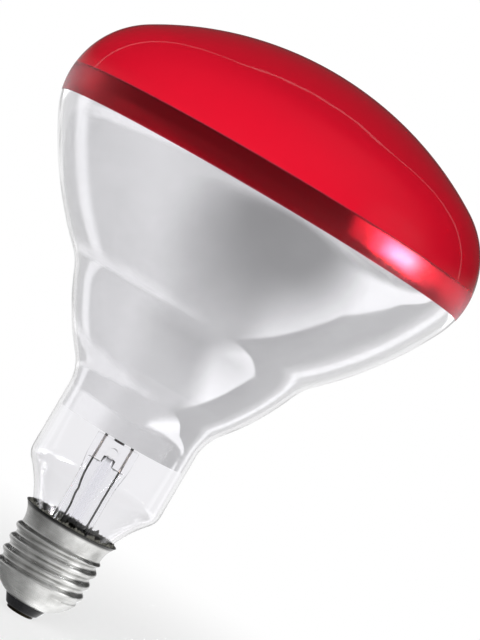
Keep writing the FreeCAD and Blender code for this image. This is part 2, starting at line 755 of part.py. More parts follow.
CEMENT_TOP = "(Sizes.lip_height - Sizes.cement_top_drop)"
CEMENT_FOOT = f"({CEMENT_TOP} - Sizes.cement_depth)"
cement_ring = turned(
    "cement_ring",
    [
        (toe_radius_at(CEMENT_FOOT), CEMENT_FOOT),
        (BORE, CEMENT_FOOT),
        (BORE, "Sizes.skirt_foot_height", INNER_SKIRT_ARC, -1),
        (skirt_radius(CEMENT_TOP, INNER_SKIRT_ARC), CEMENT_TOP),
        (toe_radius_at(CEMENT_TOP), CEMENT_TOP, "Sizes.toe_radius", 1),
    ],
)
cut("basing_cement", cement_ring, side_lead)

# Filament bent round the axis, open at the back, where the inner leads hold its ends

filament = keep(doc.addObject("Part::Torus", "filament"), "filament")
filament.setExpression("Radius1", "Sizes.filament_ring_diameter / 2")
filament.setExpression("Radius2", "Sizes.filament_coil_diameter / 2")
filament.setExpression("Angle3", f"{WHOLE_TURN} - Sizes.filament_gap_angle")
filament.setExpression("Placement.Base.z", "Sizes.filament_height")
filament.setExpression("Placement.Rotation.Angle", f"{BACK_AZIMUTH} + Sizes.filament_gap_angle / 2")
ring_radius = size("filament_ring_diameter") / 2
under_filament = size("filament_height") - size("filament_coil_diameter") / 2
half_gap = size("filament_gap_angle") / 2
for side, name in ((-1, "left"), (1, "right")):
    end_azimuth = BACK_AZIMUTH - side * half_gap
    inner_lead_route = [
        V(side * lead_offset, 0, size("press_height")),
        V(side * lead_offset, 0, size("press_height") + size("inner_lead_rise")),
        round_axis(ring_radius, end_azimuth, under_filament - size("inner_lead_rise")),
        round_axis(ring_radius, end_azimuth, under_filament),
    ]
    bent_wire(f"inner_lead_{name}", inner_lead_route, size("inner_lead_bend"), size("inner_lead_diameter"))

support_wires = []
support_step = (WHOLE_TURN - size("filament_gap_angle")) / (SUPPORT_WIRES + 1)
for number in range(1, SUPPORT_WIRES + 1):
    azimuth = BACK_AZIMUTH + half_gap + number * support_step
    support_route = [
        round_axis(size("button_diameter") / 2 - size("support_wire_depth"), azimuth, size("button_height")),
        round_axis(ring_radius, azimuth, under_filament - size("support_wire_rise")),
        round_axis(ring_radius, azimuth, under_filament),
    ]
    wire = bent_wire(
        f"support_wire_{number}", support_route, size("support_wire_bend"), size("support_wire_diameter")
    )
    support_wires.append(wire)

# Glass support rod on the press, its button melted round the feet of the support wires

ROD = "(Sizes.rod_diameter / 2)"
BUTTON = "(Sizes.button_diameter / 2)"
button_rod = turned(
    "button_rod",
    [
        ("0", "Sizes.press_height"),
        (ROD, "Sizes.press_height"),
        (ROD, f"Sizes.button_height - sqrt({BUTTON}^2 - {ROD}^2)", BUTTON, 1),
        ("0", f"Sizes.button_height + {BUTTON}"),
    ],
)
cut("support_rod", button_rod, joined("support_wire_feet", support_wires))

# Nothing is written unless every object is sound

doc.recompute()
failed = [item.Label for item in doc.Objects if {"Invalid", "Error"} & set(item.State)]
if failed:
    raise RuntimeError(f"objects that failed: {failed}")
for piece in nodes:
    if piece.Shape.isNull() or not piece.Shape.isValid() or not piece.Shape.Solids:
        raise RuntimeError(f"{piece.Label} is not a sound solid")
os.makedirs("parts", exist_ok=True)
for piece in nodes:
    piece.Shape.exportStep(f"parts/{piece.Label}.step")
    print(f"{piece.Label}: {piece.Shape.Volume:.1f} cubic millimetres, {len(piece.Shape.Solids)} solid")
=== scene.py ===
import math

import bmesh
import bpy
from mathutils import Matrix, Vector, noise


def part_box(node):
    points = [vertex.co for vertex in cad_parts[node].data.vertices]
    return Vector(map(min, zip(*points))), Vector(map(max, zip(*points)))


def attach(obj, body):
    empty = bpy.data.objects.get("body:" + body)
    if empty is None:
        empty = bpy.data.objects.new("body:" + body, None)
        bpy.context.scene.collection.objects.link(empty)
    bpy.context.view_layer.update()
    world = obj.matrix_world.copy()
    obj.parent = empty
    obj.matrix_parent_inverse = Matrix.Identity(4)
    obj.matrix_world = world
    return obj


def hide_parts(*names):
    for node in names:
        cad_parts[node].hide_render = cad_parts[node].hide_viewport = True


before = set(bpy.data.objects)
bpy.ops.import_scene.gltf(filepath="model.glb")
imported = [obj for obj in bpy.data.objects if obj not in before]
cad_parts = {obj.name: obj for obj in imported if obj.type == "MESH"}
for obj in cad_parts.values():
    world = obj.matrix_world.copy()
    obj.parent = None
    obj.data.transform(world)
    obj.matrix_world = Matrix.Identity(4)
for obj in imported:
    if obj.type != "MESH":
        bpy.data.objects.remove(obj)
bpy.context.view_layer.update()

# Stem: a flare of soft glass drawn up into a tube and squeezed flat round the seal wires, with the
# exhaust tube up its middle and a solid rod on the press. All three are worked in a flame and fused
# together, so they are clear and a little wavy along their length.


def add_node(tree, kind, inputs=None, **settings):
    """Add a node to a tree; each input is a plain value or the socket that feeds it."""
    node = tree.nodes.new(kind)
    for name, value in settings.items():
        setattr(node, name, value)
    for key, value in (inputs or {}).items():
        if isinstance(value, bpy.types.NodeSocket):
            tree.links.new(value, node.inputs[key])
        else:
            node.inputs[key].default_value = value
    return node


def new_finish(name, **settings):
    """A material with one shader, whose even qualities are set on the shader's own sockets."""
    finish = bpy.data.materials.new(name)
    finish.use_nodes = True
    shader = finish.node_tree.nodes["Principled BSDF"]
    for socket, value in settings.items():
        shader.inputs[socket.replace("_", " ")].default_value = value
    return finish


def patches(finish, scale, detail=3.0, stretch=(1.0, 1.0, 1.0)):
    """A noise on the piece's own coordinates, with its scale in patches per metre."""
    tree = finish.node_tree
    place = add_node(tree, "ShaderNodeTexCoord").outputs["Object"]
    mapped = add_node(tree, "ShaderNodeMapping", {"Vector": place, "Scale": stretch}).outputs["Vector"]
    pattern = add_node(tree, "ShaderNodeTexNoise", {"Vector": mapped, "Scale": scale, "Detail": detail})
    return pattern.outputs["Fac"]


# Nearly all of a noise lies between these two values
NOISE_LOW = 0.3
NOISE_HIGH = 0.7


def vary(finish, socket, pattern, low, high):
    """Let a pattern move a number or a colour of the shader between two values."""
    tree = finish.node_tree
    if isinstance(low, tuple):
        ramp = add_node(tree, "ShaderNodeValToRGB", {"Fac": pattern})
        ramp.color_ramp.elements[0].position = NOISE_LOW
        ramp.color_ramp.elements[1].position = NOISE_HIGH
        ramp.color_ramp.elements[0].color = (*low, 1.0)
        ramp.color_ramp.elements[1].color = (*high, 1.0)
        result = ramp.outputs["Color"]
    else:
        limits = {"From Min": NOISE_LOW, "From Max": NOISE_HIGH, "To Min": low, "To Max": high}
        result = add_node(tree, "ShaderNodeMapRange", {"Value": pattern, **limits}).outputs["Result"]
    tree.links.new(result, tree.nodes["Principled BSDF"].inputs[socket])


def raise_grain(finish, pattern, depth):
    """Turn a pattern into relief of a given depth in metres."""
    tree = finish.node_tree
    relief = add_node(tree, "ShaderNodeBump", {"Height": pattern, "Strength": 1.0, "Distance": depth})
    tree.links.new(relief.outputs["Normal"], tree.nodes["Principled BSDF"].inputs["Normal"])


CREASE_ANGLE = math.radians(35)
WELD_DISTANCE = 1e-7


def as_piece(name, mesh, finish, slot, *nodes):
    """Put a finished mesh in the lamp in place of its CAD nodes."""
    shape = bmesh.new()
    shape.from_mesh(mesh)
    bmesh.ops.remove_doubles(shape, verts=shape.verts, dist=WELD_DISTANCE)
    stray = [edge for edge in shape.edges if not edge.link_faces]
    bmesh.ops.delete(shape, geom=stray, context="EDGES")
    bmesh.ops.recalc_face_normals(shape, faces=shape.faces)
    shape.to_mesh(mesh)
    shape.free()
    mesh.shade_smooth()
    mesh.set_sharp_from_angle(angle=CREASE_ANGLE)
    mesh.materials.clear()
    mesh.materials.append(finish)
    piece = bpy.data.objects.new(name, mesh)
    bpy.context.scene.collection.objects.link(piece)
    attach(piece, "root")
    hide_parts(*nodes)


def smooth_copy(node, finish, slot):
    """Put a welded and smoothly shaded copy of a CAD node in its place."""
    as_piece(f"{node}_smooth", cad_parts[node].data.copy(), finish, slot, node)


stem_glass = new_finish("stem_glass", Base_Color=(0.98, 0.98, 0.99, 1.0), IOR=1.1, Transmission_Weight=1.0)
draw_marks = patches(stem_glass, scale=260.0, detail=2.0, stretch=(1.0, 1.0, 0.15))
vary(stem_glass, "Roughness", draw_marks, low=0.02, high=0.06)
for node in ("stem_flare", "exhaust_tube", "support_rod"):
    smooth_copy(node, stem_glass, "stem_glass")

# Wires: the leads below the press, the short lengths sealed in it, the stiff leads above it and the fine
# wires that carry the filament. All are drawn wire, cut to length and bent in a jig. The leads are dark
# with oxide from the sealing flame, and the sealed lengths have a copper skin.

lead_wire = new_finish("lead_wire", Metallic=0.4)
oxide = patches(lead_wire, scale=900.0, detail=4.0)
vary(lead_wire, "Base Color", oxide, low=(0.012, 0.011, 0.01), high=(0.05, 0.046, 0.042))
vary(lead_wire, "Roughness", oxide, low=0.3, high=0.55)
die_lines = patches(lead_wire, scale=2500.0, detail=2.0, stretch=(1.0, 1.0, 0.1))
raise_grain(lead_wire, die_lines, depth=0.00001)
leads = ("outer_lead_centre", "outer_lead_side", "inner_lead_left", "inner_lead_right")
support_wires = [f"support_wire_{number}" for number in (1, 2, 3, 4)]
for node in (*leads, *support_wires):
    smooth_copy(node, lead_wire, "lead_wire")

seal_wire = new_finish("seal_wire", Metallic=0.3)
copper_skin = patches(seal_wire, scale=900.0, detail=3.0)
vary(seal_wire, "Base Color", copper_skin, low=(0.62, 0.5, 0.44), high=(0.78, 0.68, 0.62))
vary(seal_wire, "Roughness", copper_skin, low=0.3, high=0.5)
for node in ("seal_wire_left", "seal_wire_right"):
    smooth_copy(node, seal_wire, "lead_wire")

# Filament: one length of tungsten wire wound into a close coil and bent round the axis, open at the back.
# The coil is clamped in the hooks of the inner leads and held up by the support wires.

FILAMENT_RING_RADIUS = 0.013
FILAMENT_COIL_RADIUS = 0.0007
FILAMENT_WIRE_RADIUS = 0.00014
FILAMENT_GAP = math.radians(50)
FILAMENT_HEIGHT = 0.096
FILAMENT_TURNS = 120
POINTS_PER_TURN = 14
WIRE_SIDES = 8
BACK_AZIMUTH = math.radians(90)


def new_tree(name, **sockets):
    """An empty Geometry Nodes tree with named inputs; gives the tree, its inputs and its output node."""
    tree = bpy.data.node_groups.new(name, "GeometryNodeTree")
    tree.interface.new_socket("Shape", in_out="OUTPUT", socket_type="NodeSocketGeometry")
    tree.interface.new_socket("Shape", in_out="INPUT", socket_type="NodeSocketGeometry")
    for label, kind in sockets.items():
        tree.interface.new_socket(label.replace("_", " "), in_out="INPUT", socket_type=f"NodeSocket{kind}")
    return tree, tree.nodes.new("NodeGroupInput").outputs, tree.nodes.new("NodeGroupOutput")


def calc(tree, operation, first, second=0.0):
    """One step of arithmetic in a tree."""
    return add_node(tree, "ShaderNodeMath", {0: first, 1: second}, operation=operation).outputs[0]


def close_tree(tree, shape, finish, output):
    """End a tree: instances made real and the finish set."""
    real = add_node(tree, "GeometryNodeRealizeInstances", {"Geometry": shape}).outputs[0]
    dressed = add_node(tree, "GeometryNodeSetMaterial", {"Geometry": real, "Material": finish}).outputs[0]
    tree.links.new(dressed, output.inputs[0])


def grown(tree, start, **values):
    """The plain mesh that a tree makes out of a starting mesh."""
    holder = bpy.data.objects.new("grown", start)
    bpy.context.scene.collection.objects.link(holder)
    modifier = holder.modifiers.new("grow", "NODES")
    modifier.node_group = tree
    for socket in tree.interface.items_tree:
        if socket.in_out == "INPUT" and socket.name.replace(" ", "_") in values:
            modifier[socket.identifier] = values[socket.name.replace(" ", "_")]
    bpy.context.view_layer.update()
    shape = holder.evaluated_get(bpy.context.evaluated_depsgraph_get())
    mesh = bpy.data.meshes.new_from_object(shape)
    holder.modifiers.remove(modifier)
    bpy.data.objects.remove(holder)
    return mesh


def coil_tree():
    """A coil of wire whose axis runs round the lamp's axis."""
    tree, given, output = new_tree(
        "filament_coil",
        Ring_Radius="Float",
        Coil_Radius="Float",
        Wire_Radius="Float",
        Height="Float",
        Start="Float",
        Sweep="Float",
        Turns="Int",
        Points="Int",
        Finish="Material",
    )
    line = add_node(tree, "GeometryNodeMeshLine", {"Count": given["Points"]}).outputs[0]
    index = add_node(tree, "GeometryNodeInputIndex").outputs[0]
    share = calc(tree, "DIVIDE", index, calc(tree, "SUBTRACT", given["Points"], 1.0))
    azimuth = calc(tree, "MULTIPLY_ADD", share, given["Sweep"])
    tree.links.new(given["Start"], azimuth.node.inputs[2])
    turn = calc(tree, "MULTIPLY", share, calc(tree, "MULTIPLY", given["Turns"], math.tau))
    reach = calc(tree, "MULTIPLY_ADD", calc(tree, "COSINE", turn), given["Coil Radius"])
    tree.links.new(given["Ring Radius"], reach.node.inputs[2])
    rise = calc(tree, "MULTIPLY_ADD", calc(tree, "SINE", turn), given["Coil Radius"])
    tree.links.new(given["Height"], rise.node.inputs[2])
    parts = {
        "X": calc(tree, "MULTIPLY", reach, calc(tree, "COSINE", azimuth)),
        "Y": calc(tree, "MULTIPLY", reach, calc(tree, "SINE", azimuth)),
        "Z": rise,
    }
    place = add_node(tree, "ShaderNodeCombineXYZ", parts).outputs[0]
    wound = add_node(tree, "GeometryNodeSetPosition", {"Geometry": line, "Position": place}).outputs[0]
    path = add_node(tree, "GeometryNodeMeshToCurve", {"Mesh": wound}).outputs[0]
    section = {"Resolution": WIRE_SIDES, "Radius": given["Wire Radius"]}
    circle = add_node(tree, "GeometryNodeCurvePrimitiveCircle", section).outputs[0]
    wire = {"Curve": path, "Profile Curve": circle, "Fill Caps": True}
    close_tree(tree, add_node(tree, "GeometryNodeCurveToMesh", wire).outputs[0], given["Finish"], output)
    return tree


tungsten = new_finish("tungsten", Metallic=1.0)
drawn_grain = patches(tungsten, scale=1500.0, detail=3.0)
vary(tungsten, "Base Color", drawn_grain, low=(0.16, 0.155, 0.15), high=(0.3, 0.29, 0.28))
vary(tungsten, "Roughness", drawn_grain, low=0.3, high=0.5)
filament_mesh = grown(
    coil_tree(),
    bpy.data.meshes.new("filament"),
    Ring_Radius=FILAMENT_RING_RADIUS,
    Coil_Radius=FILAMENT_COIL_RADIUS - FILAMENT_WIRE_RADIUS,
    Wire_Radius=FILAMENT_WIRE_RADIUS,
    Height=FILAMENT_HEIGHT,
    Start=BACK_AZIMUTH + FILAMENT_GAP / 2,
    Sweep=math.tau - FILAMENT_GAP,
    Turns=FILAMENT_TURNS,
    Points=FILAMENT_TURNS * POINTS_PER_TURN,
    Finish=tungsten,
)
as_piece("filament_coil", filament_mesh, tungsten, "tungsten", "filament")

# Bulb: one piece of glass blown in a turning mould, clear from the seal to the dome, with a wall of about a
# millimetre. The turning leaves it smooth, with faint waves along its length.

GLASS_LOW, GLASS_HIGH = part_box("glass_envelope")
LAMP_LENGTH = GLASS_HIGH.z
BULB_RADIUS = GLASS_HIGH.x
SEAL_HEIGHT = GLASS_LOW.z
SEAL_RADIUS = 0.010
NECK_RADIUS = 0.0202
GLASS_WALL = 0.0011
HEEL_HEIGHT = 0.042
FLARE_HEIGHT = 0.0612
RIM_HEIGHT = 0.135
WAIST_CENTRE = Vector((0.0487, 0.0833))
ARC_RADIUS = {
    "toe": 0.034,
    "heel": 0.005,
    "flare": 0.013,
    "bulge": 0.075,
    "waist": 0.015,
    "bowl": 0.110,
    "brim": 0.024,
    "shoulder": 0.025,
}
HOLLOW = ("toe", "flare", "waist")
STRAIGHT = {"seal": SEAL_RADIUS, "neck": NECK_RADIUS}
SPANS = ["seal", "toe", "heel", "neck", "flare", "bulge", "waist", "bowl", "brim", "shoulder", "dome"]
PROFILE_STEP = 0.0011
LEAST_ARC_STEPS = 4
FACETS = 224


def circles_meet(centre_a, radius_a, centre_b, radius_b):
    """The meeting point of two circles that lies to the left of the way from a to b."""
    apart = centre_b - centre_a
    along = (radius_a**2 - radius_b**2 + apart.length_squared) / (2 * apart.length)
    across = math.sqrt(radius_a**2 - along**2)
    ahead = apart.normalized()
    return centre_a + ahead * along + Vector((-ahead.y, ahead.x)) * across


def arc_centres():
    """Centres of the arcs on the bulb's outside, each found from its neighbours; adds the dome's radius."""
    arc = ARC_RADIUS
    centres = {"heel": Vector((NECK_RADIUS - arc["heel"], HEEL_HEIGHT)), "waist": WAIST_CENTRE}
    sideways = SEAL_RADIUS + arc["toe"] - centres["heel"].x
    drop = math.sqrt((arc["toe"] + arc["heel"]) ** 2 - sideways**2)
    centres["toe"] = centres["heel"] + Vector((sideways, -drop))
    centres["flare"] = Vector((NECK_RADIUS + arc["flare"], FLARE_HEIGHT))
    reach = (arc["flare"] + arc["bulge"], arc["waist"] + arc["bulge"])
    centres["bulge"] = circles_meet(centres["flare"], reach[0], WAIST_CENTRE, reach[1])
    centres["brim"] = Vector((BULB_RADIUS - arc["brim"], RIM_HEIGHT))
    reach = (arc["waist"] + arc["bowl"], arc["bowl"] - arc["brim"])
    centres["bowl"] = circles_meet(WAIST_CENTRE, reach[0], centres["brim"], reach[1])
    centres["shoulder"] = Vector((BULB_RADIUS - arc["shoulder"], RIM_HEIGHT))
    rise = LAMP_LENGTH - RIM_HEIGHT
    squares = centres["shoulder"].x ** 2 + rise**2 - arc["shoulder"] ** 2
    arc["dome"] = squares / (2 * (rise - arc["shoulder"]))
    centres["dome"] = Vector((0.0, LAMP_LENGTH - arc["dome"]))
    return centres


CENTRES = arc_centres()


def touch(inner, outer):
    """Direction from the centre of a round arc to where the next arc touches it."""
    return (CENTRES[outer] - CENTRES[inner]).normalized()


LEVEL = Vector((1.0, 0.0))
# Outward direction of the wall where each span begins, and at the apex
STARTS = {
    "toe": LEVEL,
    "heel": touch("heel", "toe"),
    "neck": LEVEL,
    "flare": LEVEL,
    "bulge": touch("bulge", "flare"),
    "waist": touch("bulge", "waist"),
    "bowl": touch("bowl", "waist"),
    "brim": touch("bowl", "brim"),
    "shoulder": LEVEL,
    "dome": touch("dome", "shoulder"),
    "apex": Vector((0.0, 1.0)),
}


def level_point(points, height):
    """Where a line of points passes a height."""
    for here, after in zip(points, points[1:]):
        if here.y <= height <= after.y:
            return here.lerp(after, (height - here.y) / (after.y - here.y))


def wall_line(depth, low=None, high=None):
    """Points (radius, height) up a face at a depth inside the bulb's outside, cut at two heights."""
    points = []
    for span, above in zip(SPANS, [*SPANS[1:], "apex"]):
        if span in STRAIGHT:
            ends = (SEAL_HEIGHT, CENTRES["toe"].y) if span == "seal" else (HEEL_HEIGHT, FLARE_HEIGHT)
            steps = math.ceil((ends[1] - ends[0]) / PROFILE_STEP)
            for step in range(steps):
                height = ends[0] + (ends[1] - ends[0]) * step / steps
                points.append(Vector((STRAIGHT[span] - depth, height)))
            continue
        hand = -1 if span in HOLLOW else 1
        reach = ARC_RADIUS[span] - hand * depth
        first = math.atan2(*reversed(STARTS[span] * hand))
        sweep = -STARTS[span].angle_signed(STARTS[above])
        steps = max(LEAST_ARC_STEPS, math.ceil(abs(sweep) * reach / PROFILE_STEP))
        for step in range(steps):
            angle = first + sweep * step / steps
            points.append(CENTRES[span] + Vector((math.cos(angle), math.sin(angle))) * reach)
    points.append(Vector((0.0, LAMP_LENGTH - depth)))
    low_point = [level_point(points, low)] if low else []
    high_point = [level_point(points, high)] if high else []
    kept = [point for point in points if (not low or point.y > low) and (not high or point.y < high)]
    return low_point + kept + high_point


def turning_tree():
    """Turn an outline, drawn in the XZ plane, about the lamp's axis."""
    tree, given, output = new_tree("turned_on_axis", Facets="Int", Finish="Material")
    outline = given["Shape"]
    count = add_node(tree, "GeometryNodeAttributeDomainSize", {"Geometry": outline}).outputs["Point Count"]
    rows = calc(tree, "ADD", count, 1.0)
    size = {"Vertices X": calc(tree, "ADD", given["Facets"], 1.0), "Vertices Y": rows}
    sheet = add_node(tree, "GeometryNodeMeshGrid", size).outputs["Mesh"]
    index = add_node(tree, "GeometryNodeInputIndex").outputs[0]
    # Half a point is added, so that rounding can't put a point in the column before
    column = calc(tree, "FLOOR", calc(tree, "DIVIDE", calc(tree, "ADD", index, 0.5), rows))
    along_column = calc(tree, "SUBTRACT", index, calc(tree, "MULTIPLY", column, rows))
    row = calc(tree, "FLOORED_MODULO", along_column, count)
    azimuth = calc(tree, "DIVIDE", calc(tree, "MULTIPLY", column, math.tau), given["Facets"])
    position = add_node(tree, "GeometryNodeInputPosition").outputs[0]
    sampled = {"Geometry": outline, "Value": position, "Index": row}
    corner = add_node(tree, "GeometryNodeSampleIndex", sampled, data_type="FLOAT_VECTOR").outputs[0]
    split = add_node(tree, "ShaderNodeSeparateXYZ", {0: corner}).outputs
    parts = {
        "X": calc(tree, "MULTIPLY", split["X"], calc(tree, "COSINE", azimuth)),
        "Y": calc(tree, "MULTIPLY", split["X"], calc(tree, "SINE", azimuth)),
        "Z": split["Z"],
    }
    place = add_node(tree, "ShaderNodeCombineXYZ", parts).outputs[0]
    swept = add_node(tree, "GeometryNodeSetPosition", {"Geometry": sheet, "Position": place}).outputs[0]
    seam = {"Geometry": swept, "Distance": WELD_DISTANCE}
    welded = add_node(tree, "GeometryNodeMergeByDistance", seam).outputs[0]
    close_tree(tree, welded, given["Finish"], output)
    return tree


TURNING = turning_tree()


def turned(name, outline, finish, facets=FACETS):
    """The mesh of a closed outline of (radius, height) points turned about the lamp's axis."""
    start = bpy.data.meshes.new(name)
    corners = [(point[0], 0.0, point[1]) for point in outline]
    start.from_pydata(corners, [(number, number + 1) for number in range(len(corners) - 1)], [])
    return grown(TURNING, start, Facets=facets, Finish=finish)


CLEAR_TINT = (0.98, 0.977, 0.992, 1.0)
clear_glass = new_finish("clear_glass", Base_Color=CLEAR_TINT, IOR=1.38, Transmission_Weight=1.0)
blown_waves = patches(clear_glass, scale=55.0, detail=2.0, stretch=(1.0, 1.0, 0.45))
vary(clear_glass, "Roughness", blown_waves, low=0.0, high=0.015)
raise_grain(clear_glass, blown_waves, depth=0.0001)
envelope_outline = wall_line(0.0) + wall_line(GLASS_WALL)[::-1]
envelope_mesh = turned("glass_envelope", envelope_outline, clear_glass)
as_piece("blown_envelope", envelope_mesh, clear_glass, "clear_glass", "glass_envelope")

# Reflector: aluminium evaporated on the inside of the bulb, from a masked line round the neck up to just
# past the widest part. It is a mirror seen through the glass, a little uneven like the glass under it.

FILM_LOW, FILM_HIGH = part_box("reflector_film")
FILM_THICKNESS = 0.00012
SKIN_GAP = 0.00003

mirror_film = new_finish("mirror_film", Metallic=1.0)
vapour = patches(mirror_film, scale=70.0, detail=4.0)
vary(mirror_film, "Base Color", vapour, low=(0.69, 0.69, 0.695), high=(0.74, 0.74, 0.745))
vary(mirror_film, "Roughness", vapour, low=0.05, high=0.11)
film_waves = patches(mirror_film, scale=45.0, detail=2.0)
raise_grain(mirror_film, film_waves, depth=0.00006)
film_limits = (FILM_LOW.z, FILM_HIGH.z)
film_outer = wall_line(GLASS_WALL + SKIN_GAP, *film_limits)
film_inner = wall_line(GLASS_WALL + FILM_THICKNESS, *film_limits)
film_mesh = turned("reflector_film", film_outer + film_inner[::-1], mirror_film)
as_piece("mirror_film", film_mesh, mirror_film, "mirror_film", "reflector_film")

# Red front: a filter lacquer that the bulb is dipped in, dome down, to a level line below the rim. It is
# glossy, lets red light through and scatters it, and where it overlaps the reflector it looks darker.

COAT_LOW, COAT_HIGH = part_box("red_coat")
COAT_THICKNESS = COAT_HIGH.z - LAMP_LENGTH
CLEAR_RED = (0.58, 0.055, 0.1, 1.0)
SOLID_RED = (0.62, 0.006, 0.022, 1.0)
SOLID_EDGE = 0.0006
SOLID_SHARE = 0.9
SOLID_ROUGHNESS = 0.04
CLEAR_ROUGHNESS = 0.24


def place_on(finish):
    """Where a point of the piece lies, in metres: sockets X, Y and Z."""
    place = add_node(finish.node_tree, "ShaderNodeTexCoord").outputs["Object"]
    return add_node(finish.node_tree, "ShaderNodeSeparateXYZ", {0: place}).outputs


red_lacquer = new_finish("red_lacquer", IOR=1.18, Specular_IOR_Level=0.2)
lacquer_tree = red_lacquer.node_tree
lacquer_shader = lacquer_tree.nodes["Principled BSDF"].inputs
lacquer_height = place_on(red_lacquer)["Z"]
film_edge = {"Value": lacquer_height, "From Min": FILM_HIGH.z, "From Max": FILM_HIGH.z + SOLID_EDGE}
above_film = add_node(lacquer_tree, "ShaderNodeMapRange", film_edge).outputs["Result"]
see_through = calc(lacquer_tree, "SUBTRACT", 1.0, calc(lacquer_tree, "MULTIPLY", above_film, SOLID_SHARE))
lacquer_tree.links.new(see_through, lacquer_shader["Transmission Weight"])
polish = {"Value": above_film, "To Min": CLEAR_ROUGHNESS, "To Max": SOLID_ROUGHNESS}
lacquer_gloss = add_node(lacquer_tree, "ShaderNodeMapRange", polish).outputs["Result"]
lacquer_tree.links.new(lacquer_gloss, lacquer_shader["Roughness"])
reds = add_node(lacquer_tree, "ShaderNodeValToRGB", {"Fac": above_film})
reds.color_ramp.elements[0].color = CLEAR_RED
reds.color_ramp.elements[1].color = SOLID_RED
lacquer_tree.links.new(reds.outputs["Color"], lacquer_shader["Base Color"])
lacquer_waves = patches(red_lacquer, scale=60.0, detail=2.0)
raise_grain(red_lacquer, lacquer_waves, depth=0.0001)
coat_outer = wall_line(-COAT_THICKNESS, COAT_LOW.z)
coat_inner = wall_line(-SKIN_GAP, COAT_LOW.z)
coat_mesh = turned("red_coat", coat_outer + coat_inner[::-1], red_lacquer)
as_piece("red_lacquer_coat", coat_mesh, red_lacquer, "red_lacquer", "red_coat")

# Screw cap: thin sheet metal drawn into a cup, its round thread rolled in and its lip flared over the
# glass, then nickel plated. The rolls leave fine lines round it, and the plating is tarnished in patches.
# A dark line of painted shade runs along the top of the lip, where the gap under the cement is in shadow.

THREAD_ROOT_RADIUS = 0.0121
THREAD_DEPTH = 0.00105
THREAD_PITCH = 0.003629
THREAD_START_HEIGHT = 0.0101
THREAD_START_AZIMUTH = math.pi
THREAD_ROUNDING = 0.19
THREAD_FADE = 0.0011
THREAD_STEP = 0.00015
SHELL_WALL = 0.0003
SHELL_FOOT = Vector((THREAD_ROOT_RADIUS, 0.0086))
SHELL_FOOT_ARC = 0.012
SHELL_HOLE = Vector((0.0062, 0.0036))
HOLE_EDGE = 0.00032
SKIRT_FOOT = Vector((THREAD_ROOT_RADIUS, 0.023))
LIP = Vector((0.0141, 0.0285))
LIP_EDGE = 0.00012
LIP_CROWN_SHARES = (0.25, 0.75)
# Width and darkness of the painted shade line along the top of the lip
LIP_SHADE_WIDTH = 0.0014
LIP_SHADE_SHARE = 0.08
FOOT_BLEND = 0.0009
FOOT_BLEND_PASSES = 12
FOOT_ARC_STEPS = 24
SKIRT_ARC_STEPS = 18


def bow(start, end, radius, steps):
    """Points on an arc that bows to the right of its way, or to the left if the radius is negative."""
    if radius > 0:
        centre = circles_meet(start, radius, end, radius)
    else:
        centre = circles_meet(end, -radius, start, -radius)
    first = start - centre
    sweep = -first.angle_signed(end - centre)
    return [centre + Matrix.Rotation(sweep * step / steps, 2) @ first for step in range(steps + 1)]


def climb(start, end, step_length):
    """Points on a straight line, both ends left out."""
    steps = math.ceil((end - start).length / step_length)
    return [start.lerp(end, step / steps) for step in range(1, steps)]


def softened(points, height, reach):
    """The line with the corner at a height rounded off."""
    for _ in range(FOOT_BLEND_PASSES):
        before = [points[0], *points[:-1]]
        after = [*points[1:], points[-1]]
        points = [
            (low + here * 2 + high) / 4 if abs(here.y - height) < reach else here
            for low, here, high in zip(before, points, after)
        ]
    return points


def thread_tree():
    """Push the wall of a turned shell out along a right-hand helix, as thread rolls do."""
    tree, given, output = new_tree(
        "rolled_thread",
        Pitch="Float",
        Depth="Float",
        Start_Height="Float",
        Start_Azimuth="Float",
        Rounding="Float",
        Foot="Float",
        Top="Float",
        Fade="Float",
        Finish="Material",
    )
    position = add_node(tree, "GeometryNodeInputPosition").outputs[0]
    place = add_node(tree, "ShaderNodeSeparateXYZ", {0: position}).outputs
    azimuth = calc(tree, "SUBTRACT", calc(tree, "ARCTAN2", place["Y"], place["X"]), given["Start Azimuth"])
    above_start = calc(tree, "SUBTRACT", place["Z"], given["Start Height"])
    climbed = calc(tree, "DIVIDE", above_start, given["Pitch"])
    phase = calc(tree, "SUBTRACT", calc(tree, "MULTIPLY", climbed, math.tau), azimuth)
    wave = calc(tree, "COSINE", phase)
    flank_share = calc(tree, "SUBTRACT", 1.0, calc(tree, "POWER", wave, 2.0))
    fuller_flanks = calc(tree, "MULTIPLY", given["Rounding"], flank_share)
    rounded_wave = calc(tree, "MULTIPLY", wave, calc(tree, "ADD", fuller_flanks, 1.0))
    half_depth = calc(tree, "MULTIPLY", given["Depth"], 0.5)
    full_lift = calc(tree, "MULTIPLY", calc(tree, "ADD", rounded_wave, 1.0), half_depth)
    foot = {"Value": place["Z"], "From Min": given["Foot"]}
    foot["From Max"] = calc(tree, "ADD", given["Foot"], given["Fade"])
    rising = add_node(tree, "ShaderNodeMapRange", foot, interpolation_type="SMOOTHSTEP").outputs["Result"]
    top = {"Value": place["Z"], "From Min": given["Top"]}
    top["From Max"] = calc(tree, "SUBTRACT", given["Top"], given["Fade"])
    falling = add_node(tree, "ShaderNodeMapRange", top, interpolation_type="SMOOTHSTEP").outputs["Result"]
    lift = calc(tree, "MULTIPLY", full_lift, calc(tree, "MULTIPLY", rising, falling))
    outward = add_node(tree, "ShaderNodeCombineXYZ", {"X": place["X"], "Y": place["Y"]}).outputs[0]
    unit = add_node(tree, "ShaderNodeVectorMath", {0: outward}, operation="NORMALIZE").outputs[0]
    push = add_node(tree, "ShaderNodeVectorMath", {0: unit, "Scale": lift}, operation="SCALE").outputs[0]
    rolled = {"Geometry": given["Shape"], "Offset": push}
    close_tree(tree, add_node(tree, "GeometryNodeSetPosition", rolled).outputs[0], given["Finish"], output)
    return tree


